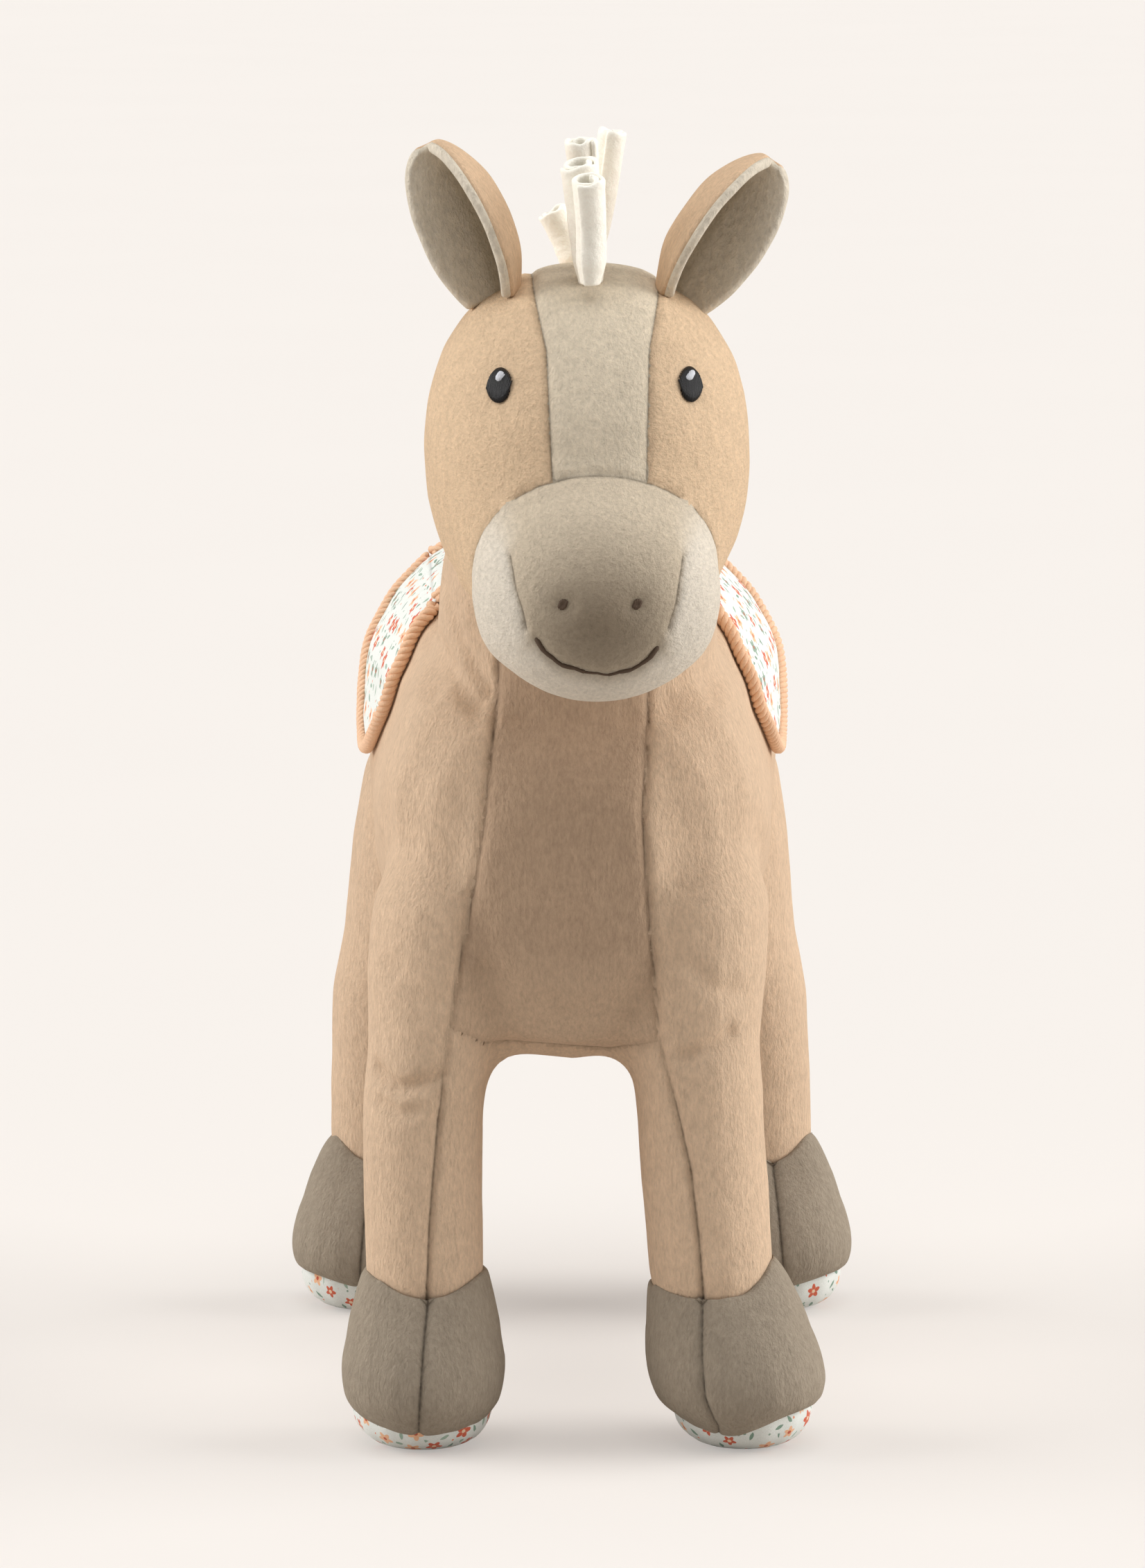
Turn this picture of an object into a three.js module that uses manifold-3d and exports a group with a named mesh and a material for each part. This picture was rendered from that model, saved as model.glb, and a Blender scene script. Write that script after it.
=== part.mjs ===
// A standing plush horse, in millimetres, +Z up, nose towards -Y, feet on Z = 0.
// Every stuffed piece is a form: rounded sections strung on a spine. Sewn panels follow a form.
import * as THREE from 'three';
import { mergeVertices } from 'three/addons/utils/BufferGeometryUtils.js';
import Module from 'manifold-3d';

const wasm = await Module();
wasm.setup();

// General fits
const fit = 0.3;            // gap between sewn neighbours
const runningGap = 0.8;     // gap round a piece that moves
const overrun = 60;         // how far a cutting block runs past what it cuts
const sliver = 0.02;        // faces finer than this are merged after a cut
const restCut = 0.5;        // how deep a sole is cut flat where it stands

// Torso
const torsoLength = 283;
const torsoFrontY = -134;
const torsoHalfWidth = 76;
const torsoHalfHeight = 84.5;
const torsoCentreZ = 221;
const torsoFullness = 2.3;    // 2 is an ellipse, more is squarer
const chestDepth = 24;
const chestLowShare = 0.5;
const chestHighShare = 0.36;
const chestKneeShare = 0.9;
const chestTopShare = 0.35;

// Neck
const neckBaseY = -52;
const neckBaseZ = 214;
const neckReach = 60;       // how far the neck leans forward
const neckRise = 152;
const neckHalfWidth = 56;
const neckHalfDepth = 53;
const neckTurnDegrees = 15;

// Head, with the muzzle in front
const headTipY = -215;
const headTipZ = 289;
const headLength = 157;
const headRise = 84;
const headHalfWidth = 55;
const headHalfHeight = 62.5;
const headCentreX = 3.5;
const headYawDegrees = 3;
const headPivotY = -92;
const headPivotZ = 335;
const headNodDegrees = 10;
const muzzleCentreHalfWidth = 27.5;
const blazeHalfWidthLow = 16.5;
const blazeHalfWidthHigh = 24;
const skinThickness = 2;

// Ears
const earLength = 58;
const earHalfWidth = 23;
const earCup = 26;
const earShellThickness = 2.4;
const earLiningThickness = 2;
const earSeat = 3;
const earColumns = 10;
const earRoom = 1.4;
const earFlopDegrees = 25;
const earLeftX = 33;
const earRightX = -25;
const earY = -99;
const earLeftLeanDegrees = 31;
const earRightLeanDegrees = 21;
const earOutTurnDegrees = 58;

// Embroidered face
const eyeHalfWidth = 5;
const eyeHalfHeight = 6.9;
const eyeRightX = -24;
const eyeLeftX = 39;
const eyeZ = 377;
const threadThickness = 1;
const glintHalfWidth = 1.9;
const glintHalfHeight = 2.2;
const glintShift = 1.3;
const glintRise = 3;
const nostrilRadius = 2.3;
const nostrilRightX = -3;
const nostrilLeftX = 21;
const nostrilZ = 310;
const mouthThreadRadius = 0.75;
const mouthHalfWidth = 20;
const mouthCentreX = 8;
const mouthTopZ = 298;
const mouthDrop = 11.5;
const mouthFullness = 2.4;
const mouthStitches = 8;

// Legs and hooves
const ankleZ = 58;
const frontLegHeight = 160;
const hindLegHeight = 190;
const frontLegY = -108;
const hindLegY = 105;
const frontAnkleX = 50;
const hindAnkleX = 71;
const frontHipX = 45;
const frontHipY = -100;
const frontHipZ = 180;
const hindHipX = 50;
const hindHipY = 100;
const hindHipZ = 190;
const frontLegHalfWidth = 25;
const frontLegHalfDepth = 29;
const hindLegHalfWidth = 33;
const hindLegHalfDepth = 41;
const legSwingDegrees = 12;
const legClearance = 2.4;     // round a leg, inside the torso
const legPlug = 10;         // how far a leg reaches down inside its hoof
const hoofHalfWidth = 28.5;
const hoofHalfDepth = 30;
const hoofTopRise = 3;
const soleRadius = 25.5;
const soleThickness = 5;
const soleTopShare = 0.94;
const soleRings = 3;

// Saddle cloth and its corded edge
const saddleClothThickness = 3;
const saddleLift = 0.6;
const saddleHalfLength = 52;
const saddleCentreY = 6;
const saddleTipDegrees = 83;
const saddleFoldDegrees = 38;
const saddleLiftDegrees = 75;
const pipingRadius = 2.4;
const backPipingSteps = 10;
const flapPipingSteps = 28;
const clothSteps = 8;
const seatRows = 10;
const foldGap = 1;
const tipTrim = 1;

// Fleece strips of the mane and tail
const stripThickness = 1.7;
const stripTurns = 1.25;
const maneStripRadius = 5.6;
const maneStripLength = 40;
const maneSteps = 4;
const stripSag = 1;
const tailStripRadius = 6.2;
const tailStripGap = 0.9;
const tailRootZ = 264;
const tailSeatDepth = 13;     // how far in front of the end of the rump the tail is sewn in
const tailReach = 9;          // how far it runs back before it bends down
const tailBend = 20;
const tailSteps = 9;
const tailDrop = 96;
const tailSweepBack = 5;
const tailSwayDegrees = 35;

const bodySides = 28;
const limbSides = 18;
const stitchSides = 12;
const frontShare = 0.05;
const roundSection = 2;
const upright = 90;
const fullTurn = 360;
const cordSides = 8;
const threadSides = 6;
const xAxis = new THREE.Vector3(1, 0, 0);
const yAxis = new THREE.Vector3(0, 1, 0);

const plush = (name, colour) => {
  const material = new THREE.MeshStandardMaterial({ color: colour, roughness: 0.95, metalness: 0 });
  material.name = name;
  return material;
};
const peachPlush = plush('peach_plush', 0xe0bd98);
const greigePlush = plush('greige_plush', 0xcbbda2);
const palePlush = plush('pale_plush', 0xd8d0c2);
const taupePlush = plush('taupe_plush', 0x8d8375);
const creamFleece = plush('cream_fleece', 0xf3f1e4);
const printedCotton = plush('printed_cotton', 0xeef0e8);
const peachCord = plush('peach_cord', 0xeeb892);
const blackThread = plush('black_thread', 0x1f1b1c);
const greyThread = plush('grey_thread', 0xb9b9bd);
const brownThread = plush('brown_thread', 0x5a4a3e);

// Solids

// A closed solid from points and triangles, turned the right way out
function solidFrom(points, triangles) {
  let volume = 0;
  const spat = new THREE.Vector3();
  for (const [a, b, c] of triangles) volume += points[a].dot(spat.crossVectors(points[b], points[c]));
  const corners = volume < 0 ? triangles.map(([a, b, c]) => [a, c, b]) : triangles;
  return new wasm.Manifold(new wasm.Mesh({
    numProp: 3,
    vertProperties: new Float32Array(points.flatMap((point) => point.toArray())),
    triVerts: new Uint32Array(corners.flat()),
  }));
}

function solidFromGeometry(geometry) {
  const bare = geometry.clone();
  bare.deleteAttribute('normal');
  bare.deleteAttribute('uv');
  const merged = mergeVertices(bare, fit / overrun);
  const place = merged.attributes.position;
  const pointAt = (i) => new THREE.Vector3().fromBufferAttribute(place, i);
  const points = Array.from({ length: place.count }, (_, i) => pointAt(i));
  const corners = Array.from(merged.index.array);
  const triangles = [];
  for (let i = 0; i < corners.length; i += 3) {
    const triangle = corners.slice(i, i + 3);
    if (new Set(triangle).size === 3) triangles.push(triangle);
  }
  return solidFrom(points, triangles);
}

function geometryFrom(solid) {
  const mesh = solid.getMesh();
  const geometry = new THREE.BufferGeometry();
  const points = [];
  for (let i = 0; i < mesh.vertProperties.length; i += mesh.numProp) {
    points.push(...mesh.vertProperties.slice(i, i + 3));
  }
  geometry.setAttribute('position', new THREE.Float32BufferAttribute(points, 3));
  geometry.setIndex(Array.from(mesh.triVerts));
  geometry.computeVertexNormals();
  return geometry;
}

const piece = (name, solid, material) => {
  const mesh = new THREE.Mesh(geometryFrom(solid), material);
  mesh.name = name;
  return mesh;
};

const moved = (solid, matrix) => {
  const geometry = geometryFrom(solid);
  geometry.applyMatrix4(matrix);
  return solidFromGeometry(geometry);
};

const turnAbout = (pivot, axis, degrees) => new THREE.Matrix4()
  .makeTranslation(pivot)
  .multiply(new THREE.Matrix4().makeRotationAxis(axis, THREE.MathUtils.degToRad(degrees)))
  .multiply(new THREE.Matrix4().makeTranslation(pivot.clone().negate()));

// What is left of a carrier once a moving piece has been swung through its whole range
function clearOf(carrier, mover, pivot, axis, degrees) {
  let left = carrier.subtract(mover);
  for (const way of [-1, -1 / 2, 1 / 2, 1]) {
    left = left.subtract(moved(mover, turnAbout(pivot, axis, way * degrees)));
  }
  return left;
}

// The largest body of a solid, without the crumbs that a cut leaves
function mainBody(solid) {
  return solid.simplify(sliver).decompose().sort((a, b) => b.volume() - a.volume())[0];
}

function block(low, high) {
  const size = high.clone().sub(low);
  const geometry = new THREE.BoxGeometry(size.x, size.y, size.z);
  geometry.translate(...low.clone().add(high).multiplyScalar(1 / 2).toArray());
  return solidFromGeometry(geometry);
}

// A flat outline in X and Z, drawn out along Y
function slab(outline, fromY, toY) {
  const geometry = new THREE.ExtrudeGeometry(
    new THREE.Shape(outline.map(([x, z]) => new THREE.Vector2(x, z))),
    { depth: toY - fromY, bevelEnabled: false },
  );
  geometry.rotateX(Math.PI / 2);
  geometry.translate(0, toY, 0);
  return solidFromGeometry(geometry);
}

// Catmull-Rom blend of four values
function blend(before, from, to, after, share) {
  const square = share * share;
  const cube = square * share;
  return ((2 * from) + (to - before) * share + (2 * before - 5 * from + 4 * to - after) * square
    + (3 * from - before - 3 * to + after) * cube) / 2;
}

// A stuffed form. Each station is { x, y, z, wide, tall, tilt, fullness }: the tilt is the way the
// spine runs there, in degrees up from +Y. An angle of 0 on a section is its upper or front side.
class Form {
  constructor(stations, matrix = new THREE.Matrix4()) {
    this.stations = stations.map((station) => ({ fullness: roundSection, ...station }));
    this.matrix = matrix;
  }

  section(t, grow = 0) {
    const last = this.stations.length - 1;
    const from = Math.min(Math.floor(t), last - 1);
    const pick = (i) => this.stations[Math.max(0, Math.min(last, i))];
    const near = [from - 1, from, from + 1, from + 2].map(pick);
    const mixed = (key) => blend(...near.map((station) => station[key]), t - from);
    const tilt = THREE.MathUtils.degToRad(mixed('tilt'));
    const along = new THREE.Vector3(0, Math.cos(tilt), Math.sin(tilt));
    const centre = new THREE.Vector3(mixed('x'), mixed('y'), mixed('z'));
    if (t <= 0) centre.addScaledVector(along, -grow);
    if (t >= last) centre.addScaledVector(along, grow);
    const closed = t <= 0 || t >= last;
    return {
      centre,
      up: new THREE.Vector3().crossVectors(xAxis, along),
      wide: closed ? 0 : Math.max(0, mixed('wide')),
      tall: closed ? 0 : Math.max(0, mixed('tall')),
      fullness: mixed('fullness'),
    };
  }

  point(t, degrees, grow = 0) {
    const { centre, up, wide, tall, fullness } = this.section(t, grow);
    const angle = THREE.MathUtils.degToRad(degrees);
    const swell = (value) => Math.sign(value) * Math.pow(Math.abs(value), roundSection / fullness);
    return centre
      .addScaledVector(xAxis, wide * swell(Math.sin(angle)))
      .addScaledVector(up, tall * swell(Math.cos(angle)))
      .applyMatrix4(this.matrix);
  }

  slopes(t, degrees) {
    const small = 1 / bodySides;
    const along = this.point(t + small, degrees).sub(this.point(t - small, degrees)).divideScalar(2 * small);
    const round = this.point(t, degrees + small).sub(this.point(t, degrees - small)).divideScalar(2 * small);
    return { along, round };
  }

  lifted(t, degrees, lift) {
    const { along, round } = this.slopes(t, degrees);
    const normal = new THREE.Vector3().crossVectors(round, along).normalize();
    const point = this.point(t, degrees);
    const outward = point.clone().sub(this.section(t).centre.applyMatrix4(this.matrix));
    if (normal.dot(outward) < 0) normal.negate();
    return point.addScaledVector(normal, lift);
  }

  // The station where the spine passes a height or a length
  stationAt(key, value) {
    let low = 0;
    let high = this.stations.length - 1;
    const rising = this.stations[high][key] > this.stations[0][key];
    for (let i = 0; i < bodySides; i += 1) {
      const middle = (low + high) / 2;
      const here = key === 'y' ? this.section(middle).centre.y : this.section(middle).centre.z;
      if ((here < value) === rising) low = middle;
      else high = middle;
    }
    return (low + high) / 2;
  }

  // The place on the near side of the form that is seen at x and z from in front: the front
  // wins over the back by a small share of its nearness
  seenAt(x, z) {
    const last = this.stations.length - 1;
    let best = { t: last / 2, degrees: 0, miss: Infinity };
    let reach = { t: last / 2, degrees: upright };
    for (let round = 0; round < limbSides / 2; round += 1) {
      const centre = { ...best };
      for (let i = -limbSides; i <= limbSides; i += 1) {
        for (let j = -limbSides; j <= limbSides; j += 1) {
          const t = centre.t + (reach.t * i) / limbSides;
          const degrees = centre.degrees + (reach.degrees * j) / limbSides;
          if (t > 0 && t < last) {
            const point = this.point(t, degrees);
            const miss = Math.hypot(point.x - x, point.z - z) + (point.y - headTipY) * frontShare;
            if (miss < best.miss) best = { t, degrees, miss };
          }
        }
      }
      reach = { t: reach.t / 2, degrees: reach.degrees / 2 };
    }
    return best;
  }

  solid(sides, perStation, grow = 0) {
    const last = this.stations.length - 1;
    const rings = last * perStation;
    const points = [this.point(0, 0, grow)];
    for (let i = 1; i < rings; i += 1) {
      for (let j = 0; j < sides; j += 1) points.push(this.lifted(i / perStation, (fullTurn * j) / sides, grow));
    }
    points.push(this.point(last, 0, grow));
    const at = (i, j) => 1 + (i - 1) * sides + (j % sides);
    const triangles = [];
    for (let j = 0; j < sides; j += 1) {
      triangles.push([0, at(1, j), at(1, j + 1)]);
      triangles.push([points.length - 1, at(rings - 1, j + 1), at(rings - 1, j)]);
      for (let i = 1; i < rings - 1; i += 1) {
        triangles.push([at(i, j), at(i + 1, j), at(i + 1, j + 1)]);
        triangles.push([at(i, j), at(i + 1, j + 1), at(i, j + 1)]);
      }
    }
    return solidFrom(points, triangles);
  }
}

// A sheet with a front and a back, from a function of row, column and side
function sheet(rows, columns, place) {
  const points = [];
  for (const side of [0, 1]) {
    for (let i = 0; i <= rows; i += 1) {
      for (let j = 0; j <= columns; j += 1) points.push(place(i / rows, j / columns, side));
    }
  }
  const layer = (rows + 1) * (columns + 1);
  const at = (i, j, side) => side * layer + i * (columns + 1) + j;
  const triangles = [];
  const quad = (a, b, c, d) => triangles.push([a, b, c], [a, c, d]);
  for (let i = 0; i < rows; i += 1) {
    for (let j = 0; j < columns; j += 1) {
      quad(at(i, j, 0), at(i + 1, j, 0), at(i + 1, j + 1, 0), at(i, j + 1, 0));
      quad(at(i, j, 1), at(i, j + 1, 1), at(i + 1, j + 1, 1), at(i + 1, j, 1));
    }
    quad(at(i, 0, 0), at(i, 0, 1), at(i + 1, 0, 1), at(i + 1, 0, 0));
    quad(at(i, columns, 0), at(i + 1, columns, 0), at(i + 1, columns, 1), at(i, columns, 1));
  }
  for (let j = 0; j < columns; j += 1) {
    quad(at(0, j, 0), at(0, j + 1, 0), at(0, j + 1, 1), at(0, j, 1));
    quad(at(rows, j, 0), at(rows, j, 1), at(rows, j + 1, 1), at(rows, j + 1, 0));
  }
  return solidFrom(points, triangles);
}

// An oval of satin stitch that lies on a form
function stitchedOval(form, t, degrees, halfWidth, halfHeight, lift, thickness) {
  const sides = stitchSides;
  const { along, round } = form.slopes(t, degrees);
  const place = (share, angle, height) => form.lifted(
    t + (share * halfHeight * Math.cos(angle)) / along.length(),
    degrees + (share * halfWidth * Math.sin(angle)) / round.length(),
    height,
  );
  const points = [];
  for (const [share, height] of [[1, lift], [1, lift + thickness / 2], [1 / 2, lift + thickness]]) {
    for (let j = 0; j < sides; j += 1) points.push(place(share, (2 * Math.PI * j) / sides, height));
  }
  points.push(place(0, 0, lift), place(0, 0, lift + thickness));
  const at = (ring, j) => ring * sides + (j % sides);
  const triangles = [];
  for (let j = 0; j < sides; j += 1) {
    triangles.push([at(3, 0), at(0, j + 1), at(0, j)], [at(3, 0) + 1, at(2, j), at(2, j + 1)]);
    for (const ring of [0, 1]) {
      triangles.push([at(ring, j), at(ring, j + 1), at(ring + 1, j + 1)]);
      triangles.push([at(ring, j), at(ring + 1, j + 1), at(ring + 1, j)]);
    }
  }
  return solidFrom(points, triangles);
}

// A round cord along a smooth curve
function cord(points, radius, steps, sides) {
  const outline = new THREE.Shape();
  outline.absarc(0, 0, radius, 0, 2 * Math.PI);
  const geometry = new THREE.ExtrudeGeometry(new THREE.Shape(outline.getPoints(sides / 2).slice(0, sides)), {
    steps, bevelEnabled: false, extrudePath: new THREE.CatmullRomCurve3(points),
  });
  return solidFromGeometry(geometry);
}

// A fleece strip rolled lengthwise into an open spiral, drawn along a curve
function rolledStrip(points, radius, steps) {
  const turns = stitchSides;
  const pitch = stripThickness + 2 * fit;
  const spiral = (share, wall) => {
    const angle = 2 * Math.PI * stripTurns * share;
    const reach = radius - pitch * stripTurns * share - wall;
    return new THREE.Vector2(reach * Math.cos(angle), reach * Math.sin(angle));
  };
  const outline = [];
  for (let i = 0; i <= turns; i += 1) outline.push(spiral(i / turns, 0));
  for (let i = turns; i >= 0; i -= 1) outline.push(spiral(i / turns, stripThickness));
  const geometry = new THREE.ExtrudeGeometry(new THREE.Shape(outline), {
    steps, bevelEnabled: false, extrudePath: new THREE.CatmullRomCurve3(points),
  });
  return solidFromGeometry(geometry);
}

// Torso

// Along the torso, rise of the centre, width and height, from the chest to the rump
const torsoShares = [
  [0, -0.25, 0, 0], [0.012, -0.245, 0.39, 0.41], [0.045, -0.21, 0.7, 0.69], [0.092, -0.14, 0.86, 0.855],
  [0.173, -0.07, 0.925, 0.945], [0.314, -0.02, 0.955, 0.985], [0.473, 0, 0.975, 1], [0.632, 0.01, 1, 0.99],
  [0.774, 0.035, 1, 0.955], [0.87, 0.07, 0.92, 0.86], [0.94, 0.12, 0.72, 0.66], [0.982, 0.155, 0.43, 0.4],
  [1, 0.18, 0, 0],
];
const torsoForm = new Form(torsoShares.map(([along, rise, wide, tall]) => ({
  x: 0,
  y: torsoFrontY + along * torsoLength,
  z: torsoCentreZ + rise * torsoHalfHeight,
  wide: wide * torsoHalfWidth,
  tall: tall * torsoHalfHeight,
  tilt: 0,
  fullness: torsoFullness,
})));

// Neck

// Lean, rise, width, depth and lean angle, from inside the torso to inside the head
const neckShares = [
  [0, 0, 0, 0, 106], [0.02, 0.02, 0.43, 0.45, 106], [0.08, 0.09, 0.79, 0.79, 107],
  [0.17, 0.19, 0.96, 0.94, 108], [0.28, 0.32, 1, 1, 110], [0.43, 0.47, 0.91, 0.92, 112],
  [0.6, 0.62, 0.84, 0.85, 112], [0.73, 0.75, 0.82, 0.81, 112], [0.87, 0.88, 0.76, 0.75, 112],
  [0.95, 0.96, 0.5, 0.5, 112], [1, 1, 0, 0, 112],
];
const neckForm = new Form(neckShares.map(([lean, rise, wide, deep, tilt]) => ({
  x: headCentreX * rise,
  y: neckBaseY - lean * neckReach,
  z: neckBaseZ + rise * neckRise,
  wide: wide * neckHalfWidth,
  tall: deep * neckHalfDepth,
  tilt,
})));
const [neckPivotLean, neckPivotRise, , , neckPivotTilt] = neckShares[4];
const neckPivot = new THREE.Vector3(
  0,
  neckBaseY - neckPivotLean * neckReach,
  neckBaseZ + neckPivotRise * neckRise,
);
const neckTilt = THREE.MathUtils.degToRad(neckPivotTilt);
const neckAxis = new THREE.Vector3(0, Math.cos(neckTilt), Math.sin(neckTilt));

// Head and muzzle

// Length, rise, width, height, tilt and fullness, from the tip of the nose to the back of the head
const headShares = [
  [0, 0.02, 0, 0, 22, 2], [0.015, 0.035, 0.32, 0.25, 23, 2], [0.062, 0.075, 0.55, 0.43, 25, 2],
  [0.14, 0.145, 0.695, 0.555, 27, 2.05], [0.223, 0.23, 0.745, 0.6, 29, 2.05],
  [0.3, 0.32, 0.75, 0.625, 31, 2.05], [0.382, 0.452, 0.85, 0.77, 34, 2.1],
  [0.49, 0.59, 0.96, 0.92, 33, 2.2], [0.618, 0.73, 1, 1, 30, 2.3],
  [0.745, 0.845, 0.955, 0.925, 25, 2.3], [0.86, 0.925, 0.8, 0.78, 20, 2.25],
  [0.95, 0.97, 0.49, 0.48, 14, 2.1], [1, 0.985, 0, 0, 10, 2],
];
const muzzleStation = 5;
const headPivot = new THREE.Vector3(headCentreX, headPivotY, headPivotZ);
const headTurn = turnAbout(headPivot, new THREE.Vector3(0, 0, 1), headYawDegrees);
const headForm = new Form(headShares.map(([along, rise, wide, tall, tilt, fullness]) => ({
  x: headCentreX,
  y: headTipY + along * headLength,
  z: headTipZ + rise * headRise,
  wide: wide * headHalfWidth,
  tall: tall * headHalfHeight,
  tilt,
  fullness,
})), headTurn);
const nodAxis = xAxis.clone().transformDirection(headTurn);

// A block in front of or behind the muzzle seam
function muzzleBlock(infront, gap) {
  const { centre, up } = headForm.section(muzzleStation);
  const forward = new THREE.Vector3().crossVectors(xAxis, up);
  const size = 2 * headLength;
  const geometry = new THREE.BoxGeometry(size, size, size);
  const axes = new THREE.Matrix4().makeBasis(xAxis, forward.clone().negate(), up);
  const side = infront ? 1 : -1;
  const middle = centre.clone().addScaledVector(forward, side * (size / 2 + gap));
  geometry.applyMatrix4(axes.setPosition(middle));
  geometry.applyMatrix4(headTurn);
  return solidFromGeometry(geometry);
}

// Legs and hooves

// Height above the ankle, width, depth and how far the leg has moved over to its hip
const frontLegShares = [
  [-0.055, 0.5, 0.5, 0], [-0.03, 0.78, 0.72, 0], [0.02, 0.8, 0.74, 0], [0.2, 0.82, 0.75, 0.05],
  [0.38, 0.82, 0.77, 0.2], [0.54, 0.87, 0.83, 0.4], [0.7, 0.99, 0.96, 0.75], [0.84, 1, 1, 1],
  [0.95, 0.72, 0.72, 1.1],
];
const hindLegShares = [
  [-0.05, 0.36, 0.35, 0], [-0.028, 0.57, 0.48, 0], [0.02, 0.61, 0.52, 0], [0.17, 0.64, 0.565, 0.08],
  [0.33, 0.71, 0.69, 0.25], [0.49, 0.84, 0.86, 0.62], [0.65, 0.98, 1, 0.98], [0.79, 0.97, 0.98, 1.15],
  [0.92, 0.68, 0.7, 1.3],
];

// Each leg: where its ankle stands and how much the leg bows out, as shares of the ankle's place
// and of the leg's half width, and how the hoof turns, in degrees
const legs = [
  { name: 'front_left', side: 1, ankleShare: 0.98, bowShare: -0.16, toeOut: 24, roll: 11, toeUp: 2 },
  { name: 'front_right', side: -1, ankleShare: 1.03, bowShare: 0.08, toeOut: 2, roll: 1, toeUp: 3 },
  { name: 'hind_left', side: 1, ankleShare: 0.993, bowShare: -0.03, toeOut: 22, roll: 5, toeUp: 9 },
  { name: 'hind_right', side: -1, ankleShare: 1, bowShare: 0.03, toeOut: 22, roll: 5, toeUp: 9 },
];
const stoutShares = { front_left: 1.06, front_right: 1, hind_left: 1.02, hind_right: 1.02 };

// The sizes that the front and the hind legs are made to
const frontSizes = {
  shares: frontLegShares,
  height: frontLegHeight,
  halfWidth: frontLegHalfWidth,
  halfDepth: frontLegHalfDepth,
  ankleX: frontAnkleX,
  ankleY: frontLegY,
  hip: new THREE.Vector3(frontHipX, frontHipY, frontHipZ),
};
const hindSizes = {
  shares: hindLegShares,
  height: hindLegHeight,
  halfWidth: hindLegHalfWidth,
  halfDepth: hindLegHalfDepth,
  ankleX: hindAnkleX,
  ankleY: hindLegY,
  hip: new THREE.Vector3(hindHipX, hindHipY, hindHipZ),
};
const isFront = (leg) => leg.name.startsWith('front');
const sizesOf = (leg) => (isFront(leg) ? frontSizes : hindSizes);
const ankleOf = (leg) => new THREE.Vector3(
  leg.side * leg.ankleShare * sizesOf(leg).ankleX,
  sizesOf(leg).ankleY,
  ankleZ,
);
const hipOf = (leg) => new THREE.Vector3(leg.side, 1, 1).multiply(sizesOf(leg).hip);

function legForm(leg) {
  const { shares, height, halfWidth, halfDepth } = sizesOf(leg);
  const ankle = ankleOf(leg);
  const hip = hipOf(leg);
  const stout = stoutShares[leg.name];
  const bowTop = shares[shares.length - 1][0];
  const station = (rise, wide, deep, over) => {
    const bow = Math.sin(Math.PI * THREE.MathUtils.clamp(rise / bowTop, 0, 1));
    return {
      x: ankle.x + (hip.x - ankle.x) * over + leg.side * leg.bowShare * halfWidth * bow,
      y: ankle.y + (hip.y - ankle.y) * over,
      z: ankle.z + rise * height,
      wide: wide * halfWidth * stout,
      tall: deep * halfDepth * stout,
      tilt: upright,
    };
  };
  const rings = shares.map((share) => station(...share));
  const bottom = { ...rings[0], z: ankle.z - legPlug, wide: 0, tall: 0 };
  const crown = { ...rings[rings.length - 1], z: ankle.z + height, wide: 0, tall: 0 };
  return new Form([bottom, ...rings, crown]);
}

// The room that a leg needs to swing: deeper the further it is from the hip, and higher above it,
// with a flat inner wall that the leg is seated against
function legRoom(leg) {
  const swing = Math.tan(THREE.MathUtils.degToRad(legSwingDegrees));
  const hip = hipOf(leg);
  const rise = swing * sizesOf(leg).halfDepth;
  const room = new Form(legForm(leg).stations.map((station) => ({
    ...station,
    z: station.z > hip.z ? station.z + rise : station.z,
    tall: station.tall && station.tall + Math.abs(station.z - hip.z) * swing,
  }))).solid(limbSides, 1, legClearance);
  const legPoints = geometryFrom(legForm(leg).solid(limbSides, 1)).attributes.position;
  const reach = new THREE.Box3().setFromBufferAttribute(legPoints);
  const left = leg.side > 0 ? reach.min.x - fit : -torsoLength;
  const right = leg.side > 0 ? torsoLength : reach.max.x + fit;
  const low = new THREE.Vector3(left, -torsoLength, 0);
  const high = new THREE.Vector3(right, torsoLength, 2 * torsoLength);
  return room.intersect(block(low, high));
}

// The room that the neck needs to turn: as wide as it is deep
function neckRoom() {
  return new Form(neckForm.stations.map((station) => {
    const reach = station.wide && Math.max(station.wide, station.tall) + runningGap;
    return { ...station, wide: reach, tall: reach };
  })).solid(bodySides, 1, runningGap);
}

// Height below the ankle, width and depth, and how far the toe stands forward
const hoofShares = [
  [-1, 0.87, 0.87, 0.1], [-0.94, 0.95, 0.95, 0.1], [-0.78, 1, 1, 0.11], [-0.55, 0.985, 0.97, 0.09],
  [-0.3, 0.9, 0.87, 0.05], [-0.1, 0.78, 0.77, 0.02], [0.02, 0.715, 0.74, 0],
];

function hoofMatrix(leg) {
  const turn = new THREE.Euler(
    THREE.MathUtils.degToRad(-leg.toeUp),
    THREE.MathUtils.degToRad(-leg.side * leg.roll),
    THREE.MathUtils.degToRad(leg.side * leg.toeOut),
    'YZX',
  );
  return new THREE.Matrix4().makeRotationFromEuler(turn).setPosition(ankleOf(leg));
}

function hoofForm(leg) {
  const rings = hoofShares.map(([rise, wide, deep, toe]) => ({
    x: 0,
    y: -toe * hoofHalfDepth,
    z: rise * (ankleZ - soleThickness),
    wide: wide * hoofHalfWidth * stoutShares[leg.name],
    tall: deep * hoofHalfDepth * stoutShares[leg.name],
    tilt: upright,
  }));
  const base = { ...rings[0], wide: 0, tall: 0 };
  const top = { ...rings[rings.length - 1], z: hoofTopRise, wide: 0, tall: 0 };
  return new Form([base, ...rings, top], hoofMatrix(leg));
}

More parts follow.
